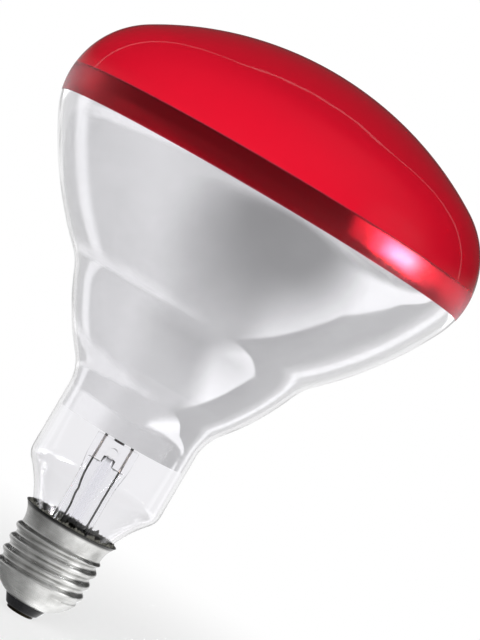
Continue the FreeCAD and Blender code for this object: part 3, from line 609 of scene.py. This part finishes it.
def darken(finish, measure, start, end, share):
    """Dim the colour to a share of itself while a measure on the piece goes from start to end."""
    tree = finish.node_tree
    colour = tree.nodes["Principled BSDF"].inputs["Base Color"]
    limits = {"Value": measure, "From Min": start, "From Max": end, "To Min": 1.0, "To Max": share}
    dimming = add_node(tree, "ShaderNodeMapRange", limits).outputs["Result"]
    dimmed = {0: colour.links[0].from_socket, "Scale": dimming}
    tree.links.new(add_node(tree, "ShaderNodeVectorMath", dimmed, operation="SCALE").outputs[0], colour)


cap_metal = new_finish("cap_metal", Metallic=1.0)
roll_lines = patches(cap_metal, scale=2600.0, detail=2.0, stretch=(0.04, 0.04, 1.0))
tarnish = patches(cap_metal, scale=160.0, detail=4.0)
vary(cap_metal, "Base Color", tarnish, low=(0.38, 0.38, 0.37), high=(0.72, 0.72, 0.71))
vary(cap_metal, "Roughness", roll_lines, low=0.22, high=0.36)
raise_grain(cap_metal, roll_lines, depth=0.000012)
cap_height = place_on(cap_metal)["Z"]
# Painted shade: the top of the lip is darkened to a line, where the gap under the cement lies in shadow
darken(cap_metal, cap_height, LIP.y - LIP_SHADE_WIDTH, LIP.y - LIP_SHADE_WIDTH / 2, LIP_SHADE_SHARE)

skirt_width = LIP.x - SKIRT_FOOT.x
skirt_rise = LIP.y - SKIRT_FOOT.y
SKIRT_ARC = (skirt_width**2 + skirt_rise**2) / (2 * skirt_width)
INNER_SKIRT_ARC = SKIRT_ARC + SHELL_WALL


def shell_bore(height):
    """Radius of the inside of the shell at a height on its wall or skirt."""
    rise = max(0.0, height - SKIRT_FOOT.y)
    return SKIRT_FOOT.x + SKIRT_ARC - math.sqrt(INNER_SKIRT_ARC**2 - rise**2)


INWARD = Vector((SHELL_WALL, 0.0))
lip_top = LIP - Vector((0.0, LIP_EDGE))
inner_lip = Vector((shell_bore(LIP.y - LIP_EDGE), LIP.y - LIP_EDGE))
inner_hole = SHELL_HOLE + Vector((0.0, HOLE_EDGE))
shell_outside = bow(SHELL_HOLE, SHELL_FOOT, SHELL_FOOT_ARC, FOOT_ARC_STEPS)
shell_outside += climb(SHELL_FOOT, SKIRT_FOOT, THREAD_STEP)
shell_outside += bow(SKIRT_FOOT, lip_top, -SKIRT_ARC, SKIRT_ARC_STEPS)
lip_crown = [Vector((lip_top.lerp(inner_lip, share).x, LIP.y)) for share in LIP_CROWN_SHARES]
shell_inside = bow(inner_lip, SKIRT_FOOT - INWARD, INNER_SKIRT_ARC, SKIRT_ARC_STEPS)
shell_inside += climb(SKIRT_FOOT - INWARD, SHELL_FOOT - INWARD, THREAD_STEP)
shell_inside += bow(SHELL_FOOT - INWARD, inner_hole, SHELL_WALL - SHELL_FOOT_ARC, FOOT_ARC_STEPS)
shell_outline = softened(shell_outside, SHELL_FOOT.y, FOOT_BLEND) + lip_crown
shell_outline += softened(shell_inside, SHELL_FOOT.y, FOOT_BLEND)
shell_mesh = grown(
    thread_tree(),
    turned("screw_shell", shell_outline, cap_metal),
    Pitch=THREAD_PITCH,
    Depth=THREAD_DEPTH,
    Start_Height=THREAD_START_HEIGHT,
    Start_Azimuth=THREAD_START_AZIMUTH,
    Rounding=THREAD_ROUNDING,
    Foot=SHELL_FOOT.y,
    Top=SKIRT_FOOT.y,
    Fade=THREAD_FADE,
    Finish=cap_metal,
)
as_piece("rolled_shell", shell_mesh, cap_metal, "cap_metal", "screw_shell")

# Basing cement: a gritty paste of marble flour and resin, baked between the glass and the shell. It shows
# above the lip, round the foot of the glass, as a dark ring with a ragged edge.

CEMENT_FOOT_HEIGHT = 0.017
CEMENT_TOP_HEIGHT = 0.0298
CEMENT_RAGGED = 0.0019
CEMENT_SHELL_TOP = 0.0282
CEMENT_COLUMNS = 300
CEMENT_ROWS = 10
CEMENT_GAP = 0.00004
# How closely the coarse and the fine teeth of the ragged edge follow each other, and the share of the fine
COARSE_TEETH = 9.0
FINE_TEETH = 31.0
FINE_TEETH_SHARE = 0.4

cement_finish = new_finish("cement", Roughness=0.9)
grit = patches(cement_finish, scale=1400.0, detail=5.0)
vary(cement_finish, "Base Color", grit, low=(0.07, 0.069, 0.06), high=(0.16, 0.156, 0.135))
raise_grain(cement_finish, grit, depth=0.0002)
glass_line = wall_line(-CEMENT_GAP)
shares = [row / CEMENT_ROWS for row in range(CEMENT_ROWS + 1)]
shell_rise = CEMENT_SHELL_TOP - CEMENT_FOOT_HEIGHT
shell_levels = [CEMENT_FOOT_HEIGHT + shell_rise * share for share in shares]
on_shell = [Vector((shell_bore(level) - CEMENT_GAP, level)) for level in shell_levels]
cement_points = []
for column in range(CEMENT_COLUMNS):
    azimuth = math.tau * column / CEMENT_COLUMNS
    around = Vector((math.cos(azimuth), math.sin(azimuth), 0.0))
    coarse = 0.5 + 0.5 * noise.noise(around * COARSE_TEETH)
    ragged = coarse + FINE_TEETH_SHARE * noise.noise(around * FINE_TEETH)
    edge = CEMENT_TOP_HEIGHT - CEMENT_RAGGED * min(1.0, max(0.0, ragged))
    glass_levels = [CEMENT_FOOT_HEIGHT + (edge - CEMENT_FOOT_HEIGHT) * share for share in shares]
    on_glass = [Vector((level_point(glass_line, level).x, level)) for level in glass_levels]
    for spot in on_glass + on_shell[::-1]:
        cement_points.append(around * spot.x + Vector((0.0, 0.0, spot.y)))
column_points = 2 * (CEMENT_ROWS + 1)
cement_faces = []
for column in range(CEMENT_COLUMNS):
    here = column * column_points
    there = (column + 1) % CEMENT_COLUMNS * column_points
    for row in range(column_points):
        above = (row + 1) % column_points
        cement_faces.append((here + row, there + row, there + above, here + above))
cement_mesh = bpy.data.meshes.new("basing_cement")
cement_mesh.from_pydata(cement_points, [], cement_faces)
as_piece("ragged_cement", cement_mesh, cement_finish, "cement", "basing_cement")

# Foot of the cap: black glass melted into the shell's foot, and the brass plate of the centre contact set
# in it. The glass is pressed while hot, so its edges are round and its face is shiny.

# Corners as radius, height, and how far along its sides the corner is rounded
INSULATOR_OUTLINE = (
    (0.0016, 0.0008, 0.0),
    (0.0047, 0.0008, 0.0007),
    (0.00615, 0.0035, 0.0004),
    (0.0063, 0.0041, 0.0002),
    (0.0089, 0.0056, 0.001),
    (0.0117, 0.0086, 0.0003),
    (0.0106, 0.0086, 0.0003),
    (0.0030, 0.0060, 0.0008),
    (0.0016, 0.0060, 0.0),
)
CONTACT_OUTLINE = (
    (0.0009, 0.0, 0.0001),
    (0.0040, 0.0, 0.0003),
    (0.0040, 0.0008, 0.0),
    (0.0016, 0.0008, 0.0),
    (0.0016, 0.0050, 0.0001),
    (0.0009, 0.0050, 0.0001),
)
ROUND_STEPS = 6
# The middle of the plate keeps its colour, and the plate is darkened nearly to black towards its rim
PLAIN_MIDDLE_REACH = 0.0026
DARK_RIM_REACH = 0.0036
DARK_RIM_SHARE = 0.04


def rounded(corners):
    """The points of a closed outline whose corners are rounded off."""
    points = []
    for number, (radius, height, cut) in enumerate(corners):
        corner = Vector((radius, height))
        if not cut:
            points.append(corner)
            continue
        last_corner = Vector(corners[number - 1][:2])
        next_corner = Vector(corners[(number + 1) % len(corners)][:2])
        before = corner + (last_corner - corner).normalized() * cut
        after = corner + (next_corner - corner).normalized() * cut
        for step in range(ROUND_STEPS + 1):
            share = step / ROUND_STEPS
            points.append(before.lerp(corner, share).lerp(corner.lerp(after, share), share))
    return points


black_glass = new_finish("black_glass", IOR=1.52, Specular_IOR_Level=0.2)
pressed_grain = patches(black_glass, scale=500.0, detail=3.0)
vary(black_glass, "Base Color", pressed_grain, low=(0.004, 0.004, 0.005), high=(0.012, 0.012, 0.014))
vary(black_glass, "Roughness", pressed_grain, low=0.12, high=0.28)
raise_grain(black_glass, pressed_grain, depth=0.00005)
insulator_mesh = turned("insulator", rounded(INSULATOR_OUTLINE), black_glass)
as_piece("pressed_insulator", insulator_mesh, black_glass, "black_glass", "insulator")

contact_brass = new_finish("contact_brass", Metallic=1.0)
rub_marks = patches(contact_brass, scale=700.0, detail=4.0)
vary(contact_brass, "Base Color", rub_marks, low=(0.26, 0.21, 0.13), high=(0.42, 0.35, 0.22))
vary(contact_brass, "Roughness", rub_marks, low=0.25, high=0.42)
contact_tree = contact_brass.node_tree
contact_place = place_on(contact_brass)
squares = [calc(contact_tree, "POWER", contact_place[axis], 2.0) for axis in ("X", "Y")]
from_axis = calc(contact_tree, "SQRT", calc(contact_tree, "ADD", *squares))
# The plate is darkened from a reach off the axis out to its rim, nearly to black
darken(contact_brass, from_axis, PLAIN_MIDDLE_REACH, DARK_RIM_REACH, DARK_RIM_SHARE)
contact_mesh = turned("centre_contact", rounded(CONTACT_OUTLINE), contact_brass)
as_piece("contact_plate", contact_mesh, contact_brass, "contact_brass", "centre_contact")

# Solder: a drop in the eyelet of the contact and a blob on the lip, where the two leads end. Both are tin
# and lead that ran and froze, so they are smooth and a little dull.

# Corners as radius and height
SOLDER_DROP = (
    (0.0, 0.00005),
    (0.0004, 0.00006),
    (0.0007, 0.00009),
    (0.00088, 0.00018),
    (0.00088, 0.001),
    (0.0, 0.001),
)
DROP_FACETS = 48
SIDE_LEAD_AZIMUTH = math.radians(100)
BLOB_CENTRE = Vector((0.01395, 0.0, 0.0277))
BLOB_HALF_SIZE = Vector((0.0008, 0.0017, 0.001))
BLOB_SUBDIVISIONS = 5
BLOB_LUMPS = 1.7
BLOB_LUMP_SHARE = 0.12

solder = new_finish("solder", Metallic=1.0)
frozen_grain = patches(solder, scale=1200.0, detail=3.0)
vary(solder, "Base Color", frozen_grain, low=(0.42, 0.42, 0.43), high=(0.6, 0.6, 0.61))
vary(solder, "Roughness", frozen_grain, low=0.25, high=0.45)
raise_grain(solder, frozen_grain, depth=0.00004)
drop_mesh = turned("centre_solder", SOLDER_DROP, solder, DROP_FACETS)
as_piece("solder_drop", drop_mesh, solder, "solder", "centre_solder")
blob = bmesh.new()
bmesh.ops.create_icosphere(blob, subdivisions=BLOB_SUBDIVISIONS, radius=1.0)
to_side = Matrix.Rotation(SIDE_LEAD_AZIMUTH, 3, "Z")
for corner in blob.verts:
    lump = 1.0 + BLOB_LUMP_SHARE * noise.noise(corner.co * BLOB_LUMPS)
    corner.co = to_side @ (BLOB_CENTRE + corner.co * BLOB_HALF_SIZE * lump)
blob_mesh = bpy.data.meshes.new("side_solder")
blob.to_mesh(blob_mesh)
blob.free()
as_piece("solder_blob", blob_mesh, solder, "solder", "side_solder")

# Studio: a pale floor and a white surround, lit by soft boxes above and at both sides. Cards, a flag and a
# shaded ceiling, which show only in mirrors and glass, draw the light and dark fields on the silver. The
# camera looks at the lamp as the photograph does.

# Distances on the floor at which its shade begins and ends, and the share of light there
FLOOR_REACH = 4.0
SHADOW_REACH = 0.05
WHITE_REACH = 0.30
SHADOW_WHITE = 0.7
NEAR_FRONT = -0.4
FAR_FRONT = -0.55
FAR_FRONT_SHARE = 0.7
FAR_FLOOR = 0.35
FAR_FLOOR_WHITE = 0.6
RING_TOP_LEVEL = 1.6
# Bearing from straight behind the lamp in degrees, right-hand positive, and share of the top level there
RING_LEVELS = (
    (-180, 0.56),
    (-160, 0.56),
    (-125, 0.64),
    (-92, 0.6),
    (-69, 0.58),
    (-63, 0.82),
    (-54, 0.82),
    (-49, 0.55),
    (40, 0.55),
    (43, 0.85),
    (49, 0.85),
    (52, 0.6),
    (64, 0.43),
    (110, 0.42),
    (135, 0.54),
    (180, 0.56),
)
# The same for what the bare metal of the cap mirrors
CAP_RING_LEVELS = (
    (-180, 0.42),
    (-145, 0.3),
    (-110, 0.18),
    (-74, 0.18),
    (-40, 0.4),
    (0, 0.6),
    (60, 0.7),
    (110, 0.95),
    (145, 0.9),
    (180, 0.48),
)


def ring_light(tree, bearing, levels):
    """Light that changes with the bearing from the lamp."""
    turn_share = calc(tree, "ADD", calc(tree, "DIVIDE", bearing, math.tau), 0.5)
    ramp = add_node(tree, "ShaderNodeValToRGB", {"Fac": turn_share})
    stops = ramp.color_ramp.elements
    while len(stops) < len(levels):
        stops.new(0.5)
    for stop, (degrees, share) in zip(stops, levels):
        stop.position = 0.5 + degrees / 360
        stop.color = (share, share, share, 1.0)
    return calc(tree, "MULTIPLY", ramp.outputs["Color"], RING_TOP_LEVEL)


def ease(tree, value, start, end, low=0.0, high=1.0):
    """A smooth change from low to high while a value goes from start to end."""
    limits = {"Value": value, "From Min": start, "From Max": end, "To Min": low, "To Max": high}
    return add_node(tree, "ShaderNodeMapRange", limits, interpolation_type="SMOOTHSTEP").outputs["Result"]


def stage_sheet(name, corners, faces, finish):
    """A sheet of the studio, which isn't part of the lamp."""
    mesh = bpy.data.meshes.new(name)
    mesh.from_pydata(corners, [], faces)
    mesh.materials.append(finish)
    sheet = bpy.data.objects.new(name, mesh)
    bpy.context.scene.collection.objects.link(sheet)
    return sheet


floor_finish = new_finish("floor", Roughness=0.9)
paper_mottle = patches(floor_finish, scale=6.0)
vary(floor_finish, "Base Color", paper_mottle, low=(0.86, 0.86, 0.86), high=(0.88, 0.88, 0.88))
floor_tree = floor_finish.node_tree
floor_place = add_node(floor_tree, "ShaderNodeTexCoord").outputs["Object"]
floor_length = add_node(floor_tree, "ShaderNodeVectorMath", {0: floor_place}, operation="LENGTH")
from_lamp = floor_length.outputs["Value"]
across = add_node(floor_tree, "ShaderNodeSeparateXYZ", {0: floor_place}).outputs
bearing = calc(floor_tree, "ARCTAN2", across["X"], across["Y"])
front_share = ease(floor_tree, across["Y"], FAR_FRONT, NEAR_FRONT, FAR_FRONT_SHARE)
silver_sees = calc(floor_tree, "MULTIPLY", ring_light(floor_tree, bearing, RING_LEVELS), front_share)
far_floor = ease(floor_tree, from_lamp, FAR_FLOOR, FAR_FLOOR_WHITE)
cap_sees = calc(floor_tree, "MAXIMUM", ring_light(floor_tree, bearing, CAP_RING_LEVELS), far_floor)
floor_rays = add_node(floor_tree, "ShaderNodeLightPath").outputs
through_glass = floor_rays["Is Transmission Ray"]
choice = {"Factor": through_glass, "A": cap_sees, "B": silver_sees}
mirror_level = add_node(floor_tree, "ShaderNodeMix", choice, data_type="FLOAT").outputs["Result"]
mirror_light = add_node(floor_tree, "ShaderNodeEmission", {"Strength": mirror_level})
white_light = add_node(floor_tree, "ShaderNodeEmission", {"Strength": 1.0})
floor_in_sight = calc(floor_tree, "MAXIMUM", floor_rays["Is Camera Ray"], through_glass)
white_share = ease(floor_tree, from_lamp, SHADOW_REACH, WHITE_REACH, SHADOW_WHITE)
whitened = calc(floor_tree, "MULTIPLY", floor_in_sight, white_share)
paper = floor_tree.nodes["Principled BSDF"].outputs[0]
plain_mix = {0: whitened, 1: paper, 2: white_light.outputs[0]}
plain_floor = add_node(floor_tree, "ShaderNodeMixShader", plain_mix).outputs[0]
floor_mix = {0: floor_rays["Is Glossy Ray"], 1: plain_floor, 2: mirror_light.outputs[0]}
seen_floor = add_node(floor_tree, "ShaderNodeMixShader", floor_mix).outputs[0]
floor_tree.links.new(seen_floor, floor_tree.nodes["Material Output"].inputs["Surface"])
floor_corners = [(x * FLOOR_REACH, y * FLOOR_REACH, 0.0) for x, y in ((-1, -1), (1, -1), (1, 1), (-1, 1))]
stage_sheet("floor", floor_corners, [(0, 1, 2, 3)], floor_finish)


def glow_card(name, rows):
    """A card that only the silver mirrors; its rows hold corners of (place, share that shows, level)."""
    finish = bpy.data.materials.new(name)
    finish.use_nodes = True
    tree = finish.node_tree
    tree.nodes.clear()
    shown = add_node(tree, "ShaderNodeAttribute", attribute_name="shown").outputs["Fac"]
    level = add_node(tree, "ShaderNodeAttribute", attribute_name="level").outputs["Fac"]
    glow = add_node(tree, "ShaderNodeEmission", {"Strength": level}).outputs[0]
    clear = add_node(tree, "ShaderNodeBsdfTransparent").outputs[0]
    bounces = add_node(tree, "ShaderNodeLightPath").outputs["Glossy Depth"]
    in_mirror = calc(tree, "MINIMUM", bounces, 1.0)
    mirrored_share = calc(tree, "MULTIPLY", ease(tree, shown, 0.0, 1.0), in_mirror)
    mix = add_node(tree, "ShaderNodeMixShader", {0: mirrored_share, 1: clear, 2: glow}).outputs[0]
    add_node(tree, "ShaderNodeOutputMaterial", {"Surface": mix})
    width = len(rows[0])
    faces = []
    for row in range(len(rows) - 1):
        for first in range(row * width, (row + 1) * width - 1):
            faces.append((first, first + 1, first + width + 1, first + width))
    corners = [corner for row in rows for corner in row]
    card = stage_sheet(name, [place for place, _, _ in corners], faces, finish)
    measures = {"shown": [share for _, share, _ in corners], "level": [light for _, _, light in corners]}
    for label, values in measures.items():
        card.data.attributes.new(label, "FLOAT", "POINT").data.foreach_set("value", values)
    # What the silver mirrors leaves through the glass as a transmitted ray, which still meets the card
    card.visible_camera = False
    card.visible_diffuse = False
    card.visible_glossy = False
    card.visible_shadow = False


# White card on the floor at the right: points of its back edge and its soft front edge, share that shows,
# and level
CARD_COLUMNS = (
    ((0.035, -0.022), (0.04, -0.21), 0.0, 1.52),
    ((0.08, -0.02), (0.09, -0.25), 1.0, 1.52),
    ((0.12, -0.02), (0.13, -0.23), 1.0, 1.42),
    ((0.155, -0.018), (0.18, -0.165), 1.0, 1.35),
    ((0.24, 0.035), (0.31, -0.1), 1.0, 1.35),
    ((0.34, 0.1), (0.43, -0.02), 1.0, 1.35),
    ((0.81, 0.41), (0.9, 0.28), 1.0, 1.35),
)
# Depth from the back edge, as a share, and share that shows
CARD_ROWS = ((0.0, 1.0), (0.45, 1.0), (1.0, 0.0))
CARD_HEIGHT = 0.0005


def floor_card(name, columns):
    """A card on the floor, sharp along its back edge and soft along its front edge."""
    card_rows = []
    for depth, row_share in CARD_ROWS:
        card_row = []
        for back, front, share, level in columns:
            spot = Vector(back).lerp(Vector(front), depth)
            card_row.append(((spot.x, spot.y, CARD_HEIGHT), share * row_share, level))
        card_rows.append(card_row)
    glow_card(name, card_rows)


floor_card("right_card", CARD_COLUMNS)

# Narrow strip on the floor, from the foot round to the back left, a light line where the bowl begins
STRIP_COLUMNS = (
    ((0.03, -0.018), (0.036, -0.038), 0.0, 1.2),
    ((-0.002, -0.024), (-0.002, -0.046), 0.6, 1.2),
    ((-0.032, -0.018), (-0.042, -0.038), 1.0, 1.2),
    ((-0.062, 0.007), (-0.081, -0.011), 1.0, 1.2),
    ((-0.092, 0.058), (-0.113, 0.045), 1.0, 1.2),
    ((-0.118, 0.155), (-0.142, 0.15), 1.0, 1.2),
    ((-0.15, 0.476), (-0.18, 0.49), 0.8, 1.2),
)
floor_card("left_strip", STRIP_COLUMNS)

# Grey flag in front of the bowl, level and soft all round: rings of reach and share that shows
FLAG_CENTRE = Vector((0.035, -0.105, 0.075))
FLAG_RINGS = ((0.0, 1.0), (0.03, 1.0), (0.096, 0.0))
FLAG_COLUMNS = 33
FLAG_LEVEL = 0.4
azimuths = [math.tau * column / (FLAG_COLUMNS - 1) for column in range(FLAG_COLUMNS)]
spokes = [Vector((math.cos(azimuth), math.sin(azimuth), 0.0)) for azimuth in azimuths]
flag_rows = []
for reach, share in FLAG_RINGS:
    flag_rows.append([(FLAG_CENTRE + spoke * reach, share, FLAG_LEVEL) for spoke in spokes])
glow_card("front_flag", flag_rows)

# Low cards standing in an arc in front, for the foot of the silver: rows of reach, height and share that
# shows, and columns of bearing, share that shows and level
LOW_CARD_ROWS = ((0.33, 0.0, 0.0), (0.33, 0.025, 1.0), (0.33, 0.05, 1.0), (0.33, 0.07, 0.0))
LOW_CARDS = (
    (90, 0.0, 0.75),
    (105, 1.0, 0.75),
    (130, 1.0, 0.78),
    (155, 1.0, 0.85),
    (180, 1.0, 0.85),
    (205, 1.0, 0.95),
    (230, 1.0, 1.25),
    (275, 1.0, 1.25),
    (300, 0.0, 1.25),
)
# High cards at the back, for the ends of the red band
BACK_CARD_ROWS = ((0.9, 0.05, 0.0), (0.9, 0.1, 1.0), (0.9, 0.25, 1.0), (0.9, 0.32, 0.0))
BACK_CARDS = (
    (-75, 0.0, 2.0),
    (-60, 1.0, 2.0),
    (-30, 1.0, 2.0),
    (-18, 0.0, 2.0),
    (18, 0.0, 3.2),
    (30, 1.0, 3.2),
    (70, 1.0, 3.2),
    (88, 0.0, 3.2),
)


def round_cards(name, rows, columns):
    """Cards that stand round the lamp, soft at their ends."""
    card_rows = []
    for reach, height, row_share in rows:
        card_row = []
        for degrees, share, level in columns:
            angle = math.radians(degrees)
            spot = Vector((math.sin(angle) * reach, math.cos(angle) * reach, height))
            card_row.append((spot, share * row_share, level))
        card_rows.append(card_row)
    glow_card(name, card_rows)


round_cards("low_cards", LOW_CARD_ROWS, LOW_CARDS)
round_cards("back_cards", BACK_CARD_ROWS, BACK_CARDS)

# Surround: white behind the lamp, lighting it evenly, and shaded overhead and in front for mirrors
WHITE = (1.0, 1.0, 1.0, 1.0)
WORLD_LIGHT = 0.31
CEILING_LEAN = 0.28
CEILING_START = 0.2
CEILING_FULL = 0.45
CEILING_FRONT = -0.2
CEILING_BACK = 0.3
CEILING_FRONT_SHARE = 0.4
CEILING_BACK_SHARE = 0.06
CAP_CEILING_LEFT = 0.5
CAP_CEILING_RIGHT = 2.0
CAP_CEILING_HALF = 0.4
ROOM_FRONT = -0.2
ROOM_BACK = 0.65
ROOM_FRONT_SHARE = 0.5
BACKDROP_EDGE = 0.61
BACKDROP_EDGE_WIDTH = 0.008
BACKDROP_EDGE_LEVEL = 2.0
WINDOW_DIRECTION = (0.9, -0.34, 0.27)
WINDOW_EDGE = math.cos(math.radians(26))
WINDOW_FULL = math.cos(math.radians(10))
WINDOW_LEVEL = 2.0
world = bpy.data.worlds.new("studio")
bpy.context.scene.world = world
world.use_nodes = True
sky = world.node_tree
sky.nodes.clear()
direction = add_node(sky, "ShaderNodeTexCoord").outputs["Generated"]
heading = add_node(sky, "ShaderNodeSeparateXYZ", {0: direction}).outputs
leaning = calc(sky, "ADD", calc(sky, "MULTIPLY", heading["Y"], CEILING_LEAN), heading["Z"])
cap_ceiling = ease(
    sky, heading["X"], -CAP_CEILING_HALF, CAP_CEILING_HALF, CAP_CEILING_LEFT, CAP_CEILING_RIGHT
)
sky_rays = add_node(sky, "ShaderNodeLightPath").outputs
ceilings = {"Factor": sky_rays["Is Transmission Ray"], "A": cap_ceiling, "B": CEILING_FRONT_SHARE}
front_ceiling = add_node(sky, "ShaderNodeMix", ceilings, data_type="FLOAT").outputs["Result"]
ceiling_share = ease(sky, heading["Y"], CEILING_FRONT, CEILING_BACK, front_ceiling, CEILING_BACK_SHARE)
ceiling_dim = ease(sky, leaning, CEILING_START, CEILING_FULL, 1.0, ceiling_share)
room_dim = ease(sky, heading["Y"], ROOM_FRONT, ROOM_BACK, ROOM_FRONT_SHARE)
edge_limits = {0: heading["Y"], 1: BACKDROP_EDGE, 2: BACKDROP_EDGE_WIDTH}
backdrop_edge = add_node(sky, "ShaderNodeMath", edge_limits, operation="COMPARE").outputs[0]
edge_light = calc(sky, "MULTIPLY", backdrop_edge, BACKDROP_EDGE_LEVEL)
window_ways = {0: direction, 1: WINDOW_DIRECTION}
window_facing = add_node(sky, "ShaderNodeVectorMath", window_ways, operation="DOT_PRODUCT")
window_light = ease(sky, window_facing.outputs["Value"], WINDOW_EDGE, WINDOW_FULL, 0.0, WINDOW_LEVEL)
room_light = calc(sky, "ADD", calc(sky, "MULTIPLY", ceiling_dim, room_dim), edge_light)
mirrored_level = calc(sky, "ADD", room_light, window_light)
lighting = add_node(sky, "ShaderNodeBackground", {"Color": WHITE, "Strength": WORLD_LIGHT})
backdrop = add_node(sky, "ShaderNodeBackground", {"Color": WHITE, "Strength": 1.0})
mirrored = add_node(sky, "ShaderNodeBackground", {"Color": WHITE, "Strength": mirrored_level})
sky_in_sight = calc(sky, "MAXIMUM", sky_rays["Is Camera Ray"], sky_rays["Is Transmission Ray"])
backdrop_mix = {0: sky_in_sight, 1: lighting.outputs[0], 2: backdrop.outputs[0]}
plain_sky = add_node(sky, "ShaderNodeMixShader", backdrop_mix).outputs[0]
sky_mix = {0: sky_rays["Is Glossy Ray"], 1: plain_sky, 2: mirrored.outputs[0]}
seen_sky = add_node(sky, "ShaderNodeMixShader", sky_mix).outputs[0]
add_node(sky, "ShaderNodeOutputWorld", {"Surface": seen_sky})

LIGHT_AIM = Vector((0.0, 0.0, 0.09))


def soft_light(name, place, width, height, watts):
    """A rectangular soft light aimed at the lamp's middle, out of the camera's sight."""
    light = bpy.data.lights.new(name, "AREA")
    light.shape = "RECTANGLE"
    light.size = width
    light.size_y = height
    light.energy = watts
    source = bpy.data.objects.new(name, light)
    aim = (LIGHT_AIM - Vector(place)).to_track_quat("-Z", "Y")
    source.matrix_world = Matrix.Translation(place) @ aim.to_matrix().to_4x4()
    source.visible_camera = False
    bpy.context.scene.collection.objects.link(source)
    return source


# Soft boxes that light the lamp and the floor, unseen in mirrors and glass
for softbox in (
    soft_light("top_softbox", (0.0, 0.1, 1.1), width=0.9, height=0.9, watts=0.7),
    soft_light("left_softbox", (-0.2, -0.97, 0.3), width=0.6, height=0.6, watts=9.6),
    soft_light("right_softbox", (0.95, -0.26, 0.15), width=0.3, height=0.4, watts=1.0),
):
    softbox.visible_glossy = False
    softbox.visible_transmission = False
# Panels at the right, one in front of the other, whose mirror image is the bright spot on the red band
for panel in (
    soft_light("right_spill", (0.268, -0.093, 0.147), width=0.32, height=0.12, watts=0.25),
    soft_light("right_panel", (0.263, -0.093, 0.145), width=0.17, height=0.11, watts=0.8),
    soft_light("right_bloom", (0.258, -0.093, 0.141), width=0.1, height=0.075, watts=1.2),
    soft_light("right_core", (0.253, -0.093, 0.141), width=0.045, height=0.04, watts=1.0),
):
    panel.visible_diffuse = False
    panel.visible_glossy = False

# Camera: the lamp stands upright, so the slant that it has in the photograph is the camera's roll
VIEW_DISTANCE = 0.6526
VIEW_HEIGHT = 0.0988
VIEW_SIDEWAYS = 0.01152
VIEW_TILT = math.radians(-0.1)
VIEW_ROLL = math.radians(30.49)
VIEW_LENS = 133.6
forward = Vector((0.0, math.cos(VIEW_TILT), -math.sin(VIEW_TILT)))
level_right = Vector((1.0, 0.0, 0.0))
level_up = Vector((0.0, math.sin(VIEW_TILT), math.cos(VIEW_TILT)))
right = level_right * math.cos(VIEW_ROLL) + level_up * math.sin(VIEW_ROLL)
up = level_up * math.cos(VIEW_ROLL) - level_right * math.sin(VIEW_ROLL)
camera = bpy.data.objects.new("camera", bpy.data.cameras.new("camera"))
bpy.context.scene.collection.objects.link(camera)
camera.data.lens = VIEW_LENS
turn = Matrix((right, up, -forward)).transposed().to_4x4()
camera.matrix_world = Matrix.Translation((VIEW_SIDEWAYS, -VIEW_DISTANCE, VIEW_HEIGHT)) @ turn
bpy.context.scene.camera = camera
bpy.context.scene.view_settings.view_transform = "Standard"
